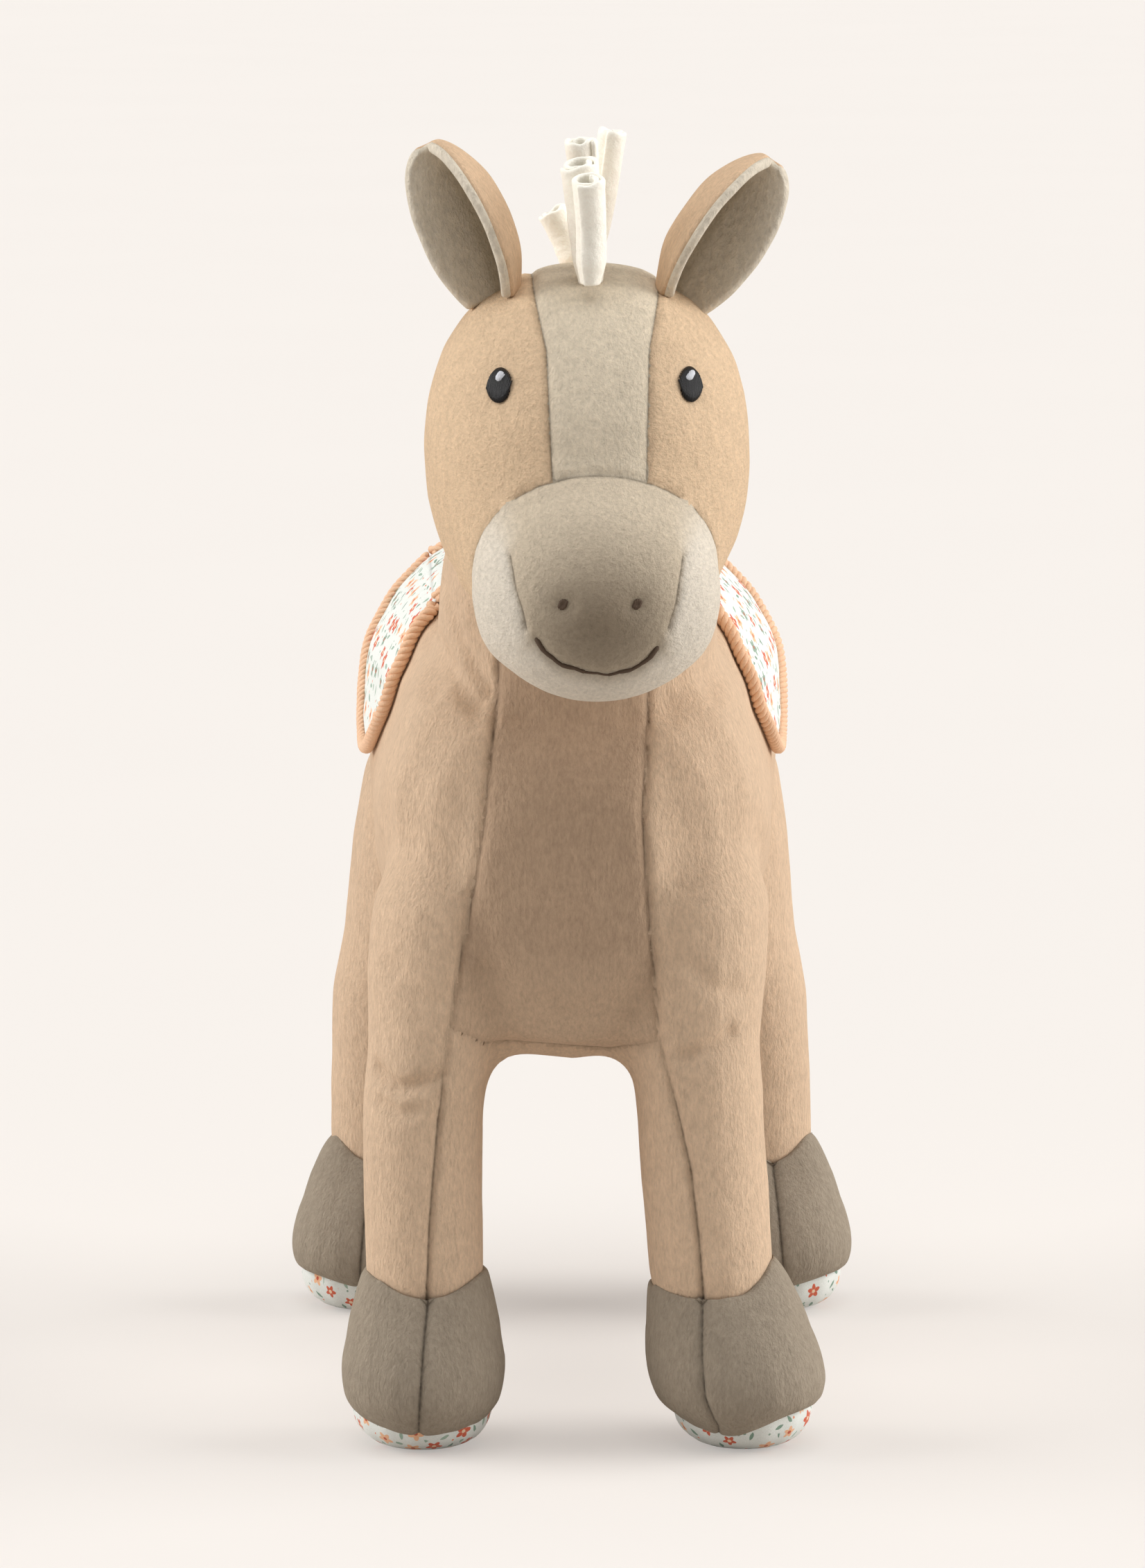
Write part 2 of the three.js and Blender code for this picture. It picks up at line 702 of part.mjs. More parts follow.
// The padded sole is a slice of a ball round the ankle, so it stands the same however the hoof tilts
function soleSolid(leg) {
  const ball = ankleZ + restCut;
  const rim = Math.asin(soleRadius / ball);
  const profile = [];
  for (let i = 0; i <= soleRings; i += 1) {
    const angle = (rim * i) / soleRings;
    profile.push(new THREE.Vector2(ball * Math.sin(angle), -ball * Math.cos(angle)));
  }
  const top = -ankleZ + soleThickness - fit;
  profile.push(new THREE.Vector2(soleRadius + fit, (top - ball * Math.cos(rim)) / 2));
  profile.push(new THREE.Vector2(soleRadius * soleTopShare, top + fit), new THREE.Vector2(0, top + 2 * fit));
  const geometry = new THREE.LatheGeometry(profile, limbSides);
  geometry.rotateX(Math.PI / 2);
  const above = block(
    new THREE.Vector3(-hoofHalfDepth, -hoofHalfDepth, top),
    new THREE.Vector3(hoofHalfDepth, hoofHalfDepth, top + overrun),
  );
  const pad = moved(solidFromGeometry(geometry).subtract(above), hoofMatrix(leg));
  const low = new THREE.Vector3(-torsoLength, -torsoLength, -overrun);
  const high = new THREE.Vector3(torsoLength, torsoLength, 0);
  return mainBody(pad.subtract(block(low, high)));
}

// Saddle

// One half of the cloth laid flat: how far down from the spine and how far along the back its edge
// lies, from the front over the tip of the flap to the rear
const saddleEdgeShares = [
  [-0.12, -0.46], [0, -0.44], [0.12, -0.46], [0.28, -0.58], [0.46, -0.76], [0.64, -0.86],
  [0.8, -0.82], [0.91, -0.66], [0.98, -0.42], [1, -0.2], [0.965, 0.06], [0.88, 0.36],
  [0.77, 0.64], [0.64, 0.86], [0.46, 0.98], [0.25, 1], [0, 1], [-0.12, 1],
];
const torsoArc = (degrees) => torsoHalfWidth * THREE.MathUtils.degToRad(degrees);
const degreesFor = (arc) => THREE.MathUtils.radToDeg(arc / torsoHalfWidth);
const saddleOutline = new THREE.CatmullRomCurve3(saddleEdgeShares.map(([down, along]) => new THREE.Vector3(
  down * torsoArc(saddleTipDegrees),
  saddleCentreY + along * saddleHalfLength,
  0,
))).getPoints(2 * bodySides);
const outlineTip = saddleOutline.reduce((best, point, i) => (point.x > saddleOutline[best].x ? i : best), 0);

// Where the edge crosses an arc, in front or behind
function saddleEdge(arc, rear) {
  const branch = rear ? saddleOutline.slice(outlineTip).reverse() : saddleOutline.slice(0, outlineTip + 1);
  let i = 0;
  while (i < branch.length - 2 && branch[i + 1].x < arc) i += 1;
  const share = (arc - branch[i].x) / (branch[i + 1].x - branch[i].x);
  return THREE.MathUtils.lerp(branch[i].y, branch[i + 1].y, Math.min(1, share));
}

function saddlePoint(degrees, y, lift) {
  return torsoForm.lifted(torsoForm.stationAt('y', y), degrees, lift);
}

// Cloth between two angles round the torso
function saddleCloth(fromDegrees, toDegrees, rows, columns) {
  return sheet(rows, columns, (across, along, outer) => {
    const degrees = fromDegrees + (toDegrees - fromDegrees) * across;
    const arc = torsoArc(Math.abs(degrees));
    const y = THREE.MathUtils.lerp(saddleEdge(arc, false), saddleEdge(arc, true), along);
    return saddlePoint(degrees, y, saddleLift + outer * saddleClothThickness);
  });
}

const pipingLift = saddleLift + pipingRadius;
const pipingOut = pipingRadius + fit;

// The line of the cord, laid flat, just outside the edge of the cloth
const pipingLine = saddleOutline.map((point, i) => {
  const before = saddleOutline[Math.max(0, i - 1)];
  const after = saddleOutline[Math.min(saddleOutline.length - 1, i + 1)];
  const run = after.clone().sub(before).normalize();
  return point.clone().add(new THREE.Vector3(-run.y, run.x, 0).multiplyScalar(-pipingOut));
});
const overFold = (point, side) => saddlePoint(side * degreesFor(point.x), point.y, pipingLift);

// The corded edge across the back, in front or behind
function backPiping(rear) {
  const last = pipingLine.length - 1;
  const reach = torsoArc(saddleFoldDegrees) - foldGap;
  const half = pipingLine.filter((point, i) => (
    (rear ? i > last / 2 : i < last / 2) && point.x > 0 && point.x < reach
  )).sort((a, b) => a.x - b.x);
  const right = half.map((point) => overFold(point, -1)).reverse();
  const left = half.map((point) => overFold(point, 1));
  return cord([...right, ...left], pipingRadius, backPipingSteps, cordSides);
}

// The corded edge of one flap, from its fold in front, round the tip and back to the fold
function flapPiping(side) {
  const low = torsoArc(saddleFoldDegrees) + foldGap;
  const points = pipingLine.filter((point) => point.x > low).map((point) => overFold(point, side));
  return cord(points, pipingRadius, flapPipingSteps, cordSides);
}

// The flap turns about a line just outside its cloth and cord
const foldPivot = (side) => {
  const outer = saddlePoint(side * saddleFoldDegrees, saddleCentreY, saddleLift + 2 * pipingRadius + foldGap);
  return new THREE.Vector3(outer.x, saddleCentreY, outer.z);
};

// Ears

// Height along the ear and half width
const earShares = [
  [0, 0.58], [0.1, 0.76], [0.24, 0.92], [0.42, 1], [0.6, 0.96],
  [0.75, 0.83], [0.88, 0.61], [0.96, 0.36], [1, 0.14],
];

// The half width of the ear at a share of its height
function earWide(share) {
  const next = Math.max(1, earShares.findIndex(([height]) => height >= share));
  const [low, from] = earShares[next - 1];
  const [high, to] = earShares[next];
  const over = THREE.MathUtils.clamp((share - low) / (high - low), 0, 1);
  return THREE.MathUtils.lerp(from, to, over) * earHalfWidth;
}

// A cupped leaf between two depths, its hollow to the front
function earLeaf(back, front, inset, grow = 0) {
  const rows = earShares.length - 1;
  return sheet(rows, earColumns, (along, across, side) => {
    const [share, wide] = earShares[Math.round(along * rows)];
    const over = (2 * across - 1) * (wide * (earHalfWidth - inset) + grow);
    const depth = side ? front - grow : back + grow;
    const height = share * (earLength - inset) + inset / 2 + grow * (2 * along - 1);
    const half = earWide(Math.min(1, height / earLength));
    const cup = earCup * (half / earHalfWidth / 2 - Math.pow(over, 2) / (half * earHalfWidth));
    return new THREE.Vector3(over, cup + depth, height);
  });
}

// Where an ear is sewn in: the top of the head above its foot
function earFoot(side) {
  const x = side > 0 ? earLeftX : earRightX;
  const start = headForm.stationAt('y', earY);
  const over = (x - headCentreX) / headForm.section(start).wide;
  return headForm.lifted(start, THREE.MathUtils.radToDeg(Math.asin(over)), -earSeat);
}

function earMatrix(side) {
  const lean = side > 0 ? earLeftLeanDegrees : earRightLeanDegrees;
  const turn = new THREE.Euler(
    0,
    THREE.MathUtils.degToRad(side * lean),
    THREE.MathUtils.degToRad(side * earOutTurnDegrees),
    'YZX',
  );
  return new THREE.Matrix4().makeRotationFromEuler(turn).setPosition(earFoot(side));
}

// Build the horse

const horse = new THREE.Group();
const add = (name, solid, material) => horse.add(piece(name, solid, material));

// Moving pieces first, because what carries them is cut to clear them
const earParts = [1, -1].map((side) => {
  const place = (solid) => moved(solid, earMatrix(side));
  return {
    side,
    foot: earFoot(side),
    shell: place(earLeaf(earShellThickness, 0, 0)),
    lining: place(earLeaf(-fit, -fit - earLiningThickness, earShellThickness)),
    room: place(earLeaf(earShellThickness, -fit - earLiningThickness, 0, earRoom)),
  };
});

const blazeBlock = (gap) => {
  const x = headForm.section(muzzleStation).centre.clone().applyMatrix4(headTurn).x;
  const low = blazeHalfWidthLow + gap;
  const high = blazeHalfWidthHigh + gap;
  const bottom = headTipZ + headRise * headShares[muzzleStation][1] + gap;
  const top = headTipZ + headRise + headHalfHeight;
  const outline = [[x - low, bottom], [x + low, bottom], [x + low, bottom + headHalfHeight],
    [x + high, top], [x - high, top], [x - low, bottom + headHalfHeight]];
  return slab(outline, headTipY, headPivotY);
};

const headWhole = headForm.solid(bodySides, 2);
const headBack = headWhole.intersect(muzzleBlock(false, fit / 2));
const muzzleWhole = headWhole.intersect(muzzleBlock(true, fit / 2));
const underBlaze = headForm.solid(bodySides, 2, -skinThickness);
const blazeFloor = headForm.solid(bodySides, 2, -skinThickness - fit);
let blazeSolid = headBack.subtract(underBlaze).intersect(blazeBlock(0));
let headSolid = headBack.subtract(headBack.subtract(blazeFloor).intersect(blazeBlock(fit)));
for (const { foot, room } of earParts) {
  headSolid = clearOf(headSolid, room, foot, yAxis, earFlopDegrees);
  blazeSolid = clearOf(blazeSolid, room, foot, yAxis, earFlopDegrees);
}

const muzzleSlab = (low, high) => {
  const { x } = headForm.section(muzzleStation / 2).centre.clone().applyMatrix4(headTurn);
  const bottom = headTipZ - headHalfHeight;
  const top = headTipZ + headRise;
  const outline = [[x + low, bottom], [x + high, bottom], [x + high, top], [x + low, top]];
  return slab(outline, headTipY - overrun, headPivotY);
};
add('head', mainBody(headSolid), peachPlush);
add('blaze', mainBody(blazeSolid), greigePlush);
const muzzleCentre = muzzleSlab(-muzzleCentreHalfWidth, muzzleCentreHalfWidth);
add('muzzle_center', mainBody(muzzleWhole.intersect(muzzleCentre)), greigePlush);
const cheekStart = muzzleCentreHalfWidth + fit;
add('cheek_left', mainBody(muzzleWhole.intersect(muzzleSlab(cheekStart, 2 * headHalfWidth))), palePlush);
add('cheek_right', mainBody(muzzleWhole.intersect(muzzleSlab(-2 * headHalfWidth, -cheekStart))), palePlush);

for (const { side, shell, lining } of earParts) {
  const name = side > 0 ? 'left' : 'right';
  add(`ear_shell_${name}`, shell, peachPlush);
  add(`ear_lining_${name}`, lining, greigePlush);
}

// Embroidery
const stitched = (name, x, z, halfWidth, halfHeight, lift, thickness, thread) => {
  const { t, degrees } = headForm.seenAt(x, z);
  add(name, stitchedOval(headForm, t, degrees, halfWidth, halfHeight, lift, thickness), thread);
};
const glintLift = 2 * fit + threadThickness;
for (const [name, x, inward] of [['left', eyeLeftX, -1], ['right', eyeRightX, 1]]) {
  const glintX = x + inward * glintShift;
  const glintZ = eyeZ + glintRise;
  stitched(`eye_${name}`, x, eyeZ, eyeHalfWidth, eyeHalfHeight, fit, threadThickness, blackThread);
  const glint = [glintX, glintZ, glintHalfWidth, glintHalfHeight, glintLift, threadThickness / 2];
  stitched(`eye_glint_${name}`, ...glint, greyThread);
}
for (const [name, x] of [['left', nostrilLeftX], ['right', nostrilRightX]]) {
  stitched(`nostril_${name}`, x, nostrilZ, nostrilRadius, nostrilRadius, fit, threadThickness, brownThread);
}
const mouthPoints = Array.from({ length: mouthStitches + 1 }, (_, i) => {
  const over = (2 * i) / mouthStitches - 1;
  const x = mouthCentreX + over * mouthHalfWidth;
  const z = mouthTopZ - mouthDrop * Math.pow(1 - Math.pow(Math.abs(over), mouthFullness), 1 / 2);
  const spot = headForm.seenAt(x, z);
  return headForm.lifted(spot.t, spot.degrees, mouthThreadRadius + fit);
});
add('mouth_stitching', cord(mouthPoints, mouthThreadRadius, 2 * mouthStitches, threadSides), brownThread);

// Mane: place along the head, then length, radius, lean to the side and lean back as shares of a
// strip's sizes, and the way its roll opens, in degrees
const maneShares = [
  { along: 0.6, long: 0.92, thick: 1, over: -0.025, back: -0.1, turn: 110 },
  { along: 0.67, long: 1, thick: 1.2, over: -0.1, back: -0.025, turn: 50 },
  { along: 0.745, long: 1.08, thick: 0.9, over: -0.075, back: 0.075, turn: 150 },
  { along: 0.81, long: 1.1, thick: 0.85, over: 0.2, back: 0.125, turn: 20 },
  { along: 0.88, long: 0.5, thick: 1.05, over: -0.22, back: 0.2, turn: 80 },
  { along: 0.945, long: 0.68, thick: 0.95, over: 0.1, back: 0.5, turn: 125 },
];
const maneFloor = headForm.solid(bodySides, 2, fit);
maneShares.forEach(({ along, long, thick, over, back, turn }, index) => {
  const t = headForm.stationAt('y', headTipY + along * headLength);
  const radius = thick * maneStripRadius;
  const opening = THREE.MathUtils.degToRad(turn);
  const foot = headForm.lifted(t, 0, -radius);
  const rise = long * maneStripLength + radius;
  const tip = foot.clone().add(new THREE.Vector3(over * maneStripLength, back * maneStripLength, rise));
  const sag = new THREE.Vector3(Math.cos(opening), Math.sin(opening), 0).multiplyScalar(stripSag);
  const middle = foot.clone().lerp(tip, 1 / 2).add(sag);
  const strip = rolledStrip([foot, middle, tip], radius, maneSteps);
  add(`mane_strip_${index + 1}`, mainBody(strip.subtract(maneFloor)), creamFleece);
});

// Neck, cut to clear the nodding head
const headRoom = headForm.solid(bodySides, 1, 2 * runningGap);
const neckSolid = clearOf(neckForm.solid(bodySides, 1), headRoom, headPivot, nodAxis, headNodDegrees);
add('neck', mainBody(neckSolid), peachPlush);

// Tail: three rolled strips in a bunch, out of a round seat in the rump and down behind it
const tailRoot = new THREE.Vector3(0, torsoFrontY + torsoLength - tailSeatDepth, tailRootZ);
const bunchRadius = (2 * tailStripRadius + tailStripGap) / Math.sqrt(3);
const tailSeatRadius = bunchRadius + tailStripRadius + runningGap;
const tailLine = [[0, 0, upright], [tailReach, 0, upright]];
for (const turn of [upright / 3, (2 * upright) / 3, upright]) {
  const angle = THREE.MathUtils.degToRad(turn);
  tailLine.push([tailReach + tailBend * Math.sin(angle), tailBend * (1 - Math.cos(angle)), upright - turn]);
}
tailLine.push([tailReach + tailBend + tailSweepBack / 2, tailBend + tailDrop / 2, 0]);
tailLine.push([tailReach + tailBend + tailSweepBack, tailBend + tailDrop, 0]);
for (const index of [0, 1, 2]) {
  const around = THREE.MathUtils.degToRad(upright / 3 + (fullTurn / 3) * index);
  const line = tailLine.map(([back, down, facing]) => {
    const tilt = THREE.MathUtils.degToRad(facing);
    const out = bunchRadius * Math.sin(around);
    return new THREE.Vector3(
      bunchRadius * Math.cos(around),
      tailRoot.y + fit + back + out * Math.cos(tilt),
      tailRoot.z - down + out * Math.sin(tilt),
    );
  });
  add(`tail_strip_${index + 1}`, rolledStrip(line, tailStripRadius, tailSteps), creamFleece);
}

// Torso, cut to clear the neck, the legs and the tail, with the chest panel let in
const chestBlock = (gap) => {
  const bottom = torsoCentreZ - torsoHalfHeight - overrun;
  const knee = torsoCentreZ - torsoHalfHeight * chestKneeShare;
  const top = torsoCentreZ + torsoHalfHeight * chestTopShare + gap;
  const low = torsoHalfWidth * chestLowShare + gap;
  const high = torsoHalfWidth * chestHighShare + gap;
  const outline = [[-low, bottom], [low, bottom], [low, knee], [high, top], [-high, top], [-low, knee]];
  return slab(outline, torsoFrontY - overrun, torsoFrontY + chestDepth + gap);
};
const torsoWhole = torsoForm.solid(bodySides, 1);
let torsoSolid = torsoWhole.subtract(chestBlock(fit)).subtract(neckRoom());
let chestPanel = torsoWhole.intersect(chestBlock(0)).subtract(neckRoom());
for (const leg of legs) {
  const form = legForm(leg);
  torsoSolid = torsoSolid.subtract(legRoom(leg));
  if (isFront(leg)) chestPanel = chestPanel.subtract(legRoom(leg));
  const hoof = hoofForm(leg);
  add(`leg_${leg.name}`, form.solid(limbSides, 1), peachPlush);
  const hoofSolid = hoof.solid(limbSides, 1).subtract(form.solid(limbSides, 1, fit));
  add(`hoof_${leg.name}`, mainBody(hoofSolid), taupePlush);
  add(`sole_${leg.name}`, soleSolid(leg), printedCotton);
}
const tailSeat = new THREE.CylinderGeometry(tailSeatRadius, tailSeatRadius, overrun, limbSides);
tailSeat.translate(tailRoot.x, tailRoot.y + overrun / 2, tailRoot.z);
torsoSolid = torsoSolid.subtract(solidFromGeometry(tailSeat));
add('torso', mainBody(torsoSolid), peachPlush);
add('chest_panel', mainBody(chestPanel), peachPlush);

// Saddle
const foldEdge = degreesFor(foldGap / 2);
const seatHalf = saddleFoldDegrees - foldEdge;
add('saddle_seat', saddleCloth(-seatHalf, seatHalf, seatRows, clothSteps), printedCotton);
for (const [name, side] of [['left', 1], ['right', -1]]) {
  const from = side * (saddleFoldDegrees + foldEdge);
  const to = side * (saddleTipDegrees - degreesFor(tipTrim));
  add(`saddle_flap_${name}`, saddleCloth(from, to, clothSteps, clothSteps), printedCotton);
  add(`flap_piping_${name}`, flapPiping(side), peachCord);
}
add('seat_piping_front', backPiping(false), peachCord);
add('seat_piping_rear', backPiping(true), peachCord);

// Where each moving piece turns, about which axis, and how far
const bothWays = (degrees) => [-degrees, degrees];
const joints = [
  { name: 'neck_turn', pivot: neckPivot, axis: neckAxis, degrees: bothWays(neckTurnDegrees) },
  { name: 'head_nod', pivot: headPivot, axis: nodAxis, degrees: bothWays(headNodDegrees) },
  { name: 'ear_flop_left', pivot: earFoot(1), axis: yAxis, degrees: bothWays(earFlopDegrees) },
  { name: 'ear_flop_right', pivot: earFoot(-1), axis: yAxis, degrees: bothWays(earFlopDegrees) },
  ...legs.map((leg) => ({
    name: `leg_swing_${leg.name}`,
    pivot: hipOf(leg),
    axis: xAxis,
    degrees: bothWays(legSwingDegrees),
  })),
  { name: 'flap_lift_left', pivot: foldPivot(1), axis: yAxis.clone().negate(), degrees: [0, saddleLiftDegrees] },
  { name: 'flap_lift_right', pivot: foldPivot(-1), axis: yAxis, degrees: [0, saddleLiftDegrees] },
  { name: 'tail_sway', pivot: tailRoot, axis: yAxis, degrees: bothWays(tailSwayDegrees) },
];
horse.userData.joints = joints;

// The origin is the middle of the box that the horse stands in
const box = new THREE.Box3().setFromObject(horse);
const middle = box.getCenter(new THREE.Vector3());
horse.position.set(-middle.x, -middle.y, 0);

export default horse;
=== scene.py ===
# A standing plush horse with a printed saddle cloth: pieces, materials, light and camera.
import math
from collections import Counter

import bmesh
import bpy
import numpy as np
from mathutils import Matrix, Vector, noise
from mathutils.bvhtree import BVHTree
from mathutils.kdtree import KDTree


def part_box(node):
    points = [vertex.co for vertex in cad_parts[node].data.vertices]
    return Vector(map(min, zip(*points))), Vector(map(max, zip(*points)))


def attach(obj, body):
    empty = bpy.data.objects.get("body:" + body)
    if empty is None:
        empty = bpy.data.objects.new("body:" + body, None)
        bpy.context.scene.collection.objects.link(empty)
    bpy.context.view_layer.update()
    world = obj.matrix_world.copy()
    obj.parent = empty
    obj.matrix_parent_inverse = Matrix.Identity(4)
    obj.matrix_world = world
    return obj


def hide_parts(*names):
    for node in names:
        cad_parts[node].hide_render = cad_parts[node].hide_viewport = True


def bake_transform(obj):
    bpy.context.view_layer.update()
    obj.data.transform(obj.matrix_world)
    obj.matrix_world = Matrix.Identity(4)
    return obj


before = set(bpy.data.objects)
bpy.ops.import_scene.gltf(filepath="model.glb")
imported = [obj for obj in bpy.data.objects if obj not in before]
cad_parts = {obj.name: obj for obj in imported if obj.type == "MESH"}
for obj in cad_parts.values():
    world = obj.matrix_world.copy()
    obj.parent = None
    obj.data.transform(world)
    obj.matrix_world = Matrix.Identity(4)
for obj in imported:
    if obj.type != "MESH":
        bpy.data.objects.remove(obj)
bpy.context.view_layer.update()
scene = bpy.context.scene
scene.view_settings.view_transform = "Standard"

# The pattern's own millimetres, with the torso's middle line at X 0, lie this far from the frame
PATTERN_SHIFT = np.array((0.25, 19.714, 0.0))


def at(x, y, z):
    return Vector((np.array((x, y, z)) + PATTERN_SHIFT) / 1000)


def to_pattern(points):
    return np.asarray(points, float) * 1000 - PATTERN_SHIFT


# Camera

camera_data = bpy.data.cameras.new("camera")
camera_data.sensor_fit = "VERTICAL"
camera_data.sensor_height = 36
camera_data.lens = 152.785
camera = bpy.data.objects.new("camera", camera_data)
scene.collection.objects.link(camera)
camera.location = (0.00025, -2.36274, 0.59344)
aim = Vector((0.00025, 0.007714, 0.218))
camera.rotation_euler = (aim - camera.location).to_track_quat("-Z", "Y").to_euler()
scene.camera = camera


# Colours and materials


def linear(code):
    """A colour written as six hexadecimal digits, in the linear values that shaders take."""
    parts = [int(code[i : i + 2], 16) / 255 for i in (0, 2, 4)]
    return [c / 12.92 if c <= 0.04045 else ((c + 0.055) / 1.055) ** 2.4 for c in parts] + [1.0]


class Wire:
    """A number that a shader works out, which Python's arithmetic extends with Math nodes."""

    def __init__(self, finish, socket):
        self.finish = finish
        self.socket = socket

    def math(self, operation, *others, clamp=False):
        return self.finish.math(operation, self, *others, clamp=clamp)

    def __add__(self, other):
        return self.math("ADD", other)

    def __radd__(self, other):
        return self.finish.math("ADD", other, self)

    def __sub__(self, other):
        return self.math("SUBTRACT", other)

    def __rsub__(self, other):
        return self.finish.math("SUBTRACT", other, self)

    def __mul__(self, other):
        return self.math("MULTIPLY", other)

    def __rmul__(self, other):
        return self.finish.math("MULTIPLY", other, self)

    def __truediv__(self, other):
        return self.math("DIVIDE", other)

    def __gt__(self, other):
        return self.math("GREATER_THAN", other)

    def clamped(self):
        return self.math("ADD", 0.0, clamp=True)


class Finish:
    """One procedural material on a Principled shader."""

    def __init__(self, name, roughness, sheen, sheen_tint, specular):
        self.material = bpy.data.materials.new(name)
        self.material.use_nodes = True
        self.tree = self.material.node_tree
        self.shader = self.tree.nodes["Principled BSDF"]
        self.shader.inputs["Roughness"].default_value = roughness
        self.shader.inputs["Specular IOR Level"].default_value = specular
        self.shader.inputs["Sheen Weight"].default_value = sheen
        self.shader.inputs["Sheen Roughness"].default_value = 0.45
        if sheen_tint:
            self.shader.inputs["Sheen Tint"].default_value = sheen_tint

    def node(self, kind, settings=None, inputs=None):
        made = self.tree.nodes.new(kind)
        for key, value in (settings or {}).items():
            setattr(made, key, value)
        for key, value in (inputs or {}).items():
            self.set(made.inputs[key], value)
        return made

    def set(self, socket, value):
        """Puts a link, a plain value or a colour's code into a socket."""
        if isinstance(value, str):
            value = linear(value)
        if isinstance(value, Wire):
            value = value.socket
        if isinstance(value, bpy.types.NodeSocket):
            self.tree.links.new(value, socket)
        else:
            socket.default_value = value

    def wire(self, kind, settings, inputs):
        return Wire(self, self.node(kind, settings, inputs).outputs[0])

    def math(self, operation, *values, clamp=False):
        settings = {"operation": operation, "use_clamp": clamp}
        return self.wire("ShaderNodeMath", settings, dict(enumerate(values)))

    def vector_math(self, operation, *values):
        settings = {"operation": operation}
        return self.node("ShaderNodeVectorMath", settings, dict(enumerate(values))).outputs[0]

    def parts(self, vector):
        return self.node("ShaderNodeSeparateXYZ", {}, {0: vector}).outputs

    def attribute(self, name, output="Vector"):
        return self.node("ShaderNodeAttribute", {"attribute_name": name}).outputs[output]

    def place(self):
        return self.node("ShaderNodeTexCoord").outputs["Object"]

    def noise(self, vector, scale, detail=2.0, rough=0.5):
        values = {"Vector": vector, "Scale": scale, "Detail": detail, "Roughness": rough}
        return self.wire("ShaderNodeTexNoise", {}, values)

    def scaled(self, colour, factor):
        """A colour made brighter or darker by a number that varies."""
        settings = {"operation": "SCALE"}
        return self.node("ShaderNodeVectorMath", settings, {0: colour, 3: factor}).outputs[0]

    def mix(self, share, low, high):
        values = {0: share, 6: low, 7: high}
        return self.node("ShaderNodeMix", {"data_type": "RGBA"}, values).outputs[2]

    def colour(self, socket):
        self.set(self.shader.inputs["Base Color"], socket)

    def bump(self, height, distance, strength):
        values = {"Height": height, "Distance": distance, "Strength": strength}
        normal = self.node("ShaderNodeBump", {}, values).outputs[0]
        self.set(self.shader.inputs["Normal"], normal)


def shade(code, factor):
    red, green, blue, _ = linear(code)
    return [red * factor, green * factor, blue * factor, 1.0]


def plush(name, code, sewn, nap=(900, 900, 330), pale_and_shaded=None, depth=0.0015):
    """Short-napped plush: fine streaks along the nap, and faint clumps.

    A sewn piece remembers its place at rest, and is darker along its seams and dents: partly its
    parted nap's own colour, partly painted shade in the groove. Given a palest and a darkest
    colour, a piece also remembers how pale and how dark it is: the darkest is painted shade, the
    palest painted light, and on the cheeks partly their own paler plush.
    """
    finish = Finish(name, 0.95, 0.22, shade(code, 1.1), 0.15)
    place = finish.attribute("rest") if sewn else finish.place()
    streaks = finish.noise(finish.vector_math("MULTIPLY", place, nap), 1.0, 5.0, 0.7)
    clumps = finish.noise(finish.vector_math("MULTIPLY", place, (1.0, 1.0, 0.6)), 260.0, 3.0, 0.6)
    shadows = finish.noise(place, 24.0)
    light = 1.0 + (streaks - 0.5) * 0.72 + (clumps - 0.5) * 0.26 + (shadows - 0.5) * 0.14
    base = linear(code)[:3]
    # Painted light and painted shade, from each point's remembered shares of the palest and darkest
    # colours
    if pale_and_shaded:
        pale, dark, _ = finish.parts(finish.attribute("pale_and_shade"))
        base = finish.mix(pale, finish.mix(dark, code, pale_and_shaded[1]), pale_and_shaded[0])
    # Darker along seams and dents: partly the parted nap's own colour, partly painted shade in the
    # groove
    if sewn:
        away, mark = (Wire(finish, finish.attribute(kind, "Fac")) for kind in ("away", "mark"))
        stitch = (finish.noise(place, 420.0, 1.0) * 1.6).clamped()
        thin = (away * away * -4.5).math("EXPONENT") * stitch
        wide = (away * away * -0.45).math("EXPONENT")
        light = light * (1.0 - mark * (thin * 0.5 + wide * 0.14))
    finish.colour(finish.scaled(base, light))
    finish.bump(streaks * 0.8 + clumps * 0.5, depth, 0.9)
    return finish.material


def fleece(name, code):
    """Thick white fleece: a fine, slightly tufted surface."""
    finish = Finish(name, 0.95, 0.3, shade(code, 1.0), 0.1)
    place = finish.place()
    fine = finish.noise(place, 1100.0, 3.0, 0.65)
    tufts = finish.noise(place, 420.0, 3.0, 0.6)
    light = 1.0 + (fine - 0.5) * 0.16 + (tufts - 0.5) * 0.14
    finish.colour(finish.scaled(linear(code)[:3], light))
    finish.bump(fine * 0.5 + tufts, 0.0006, 0.6)
    return finish.material


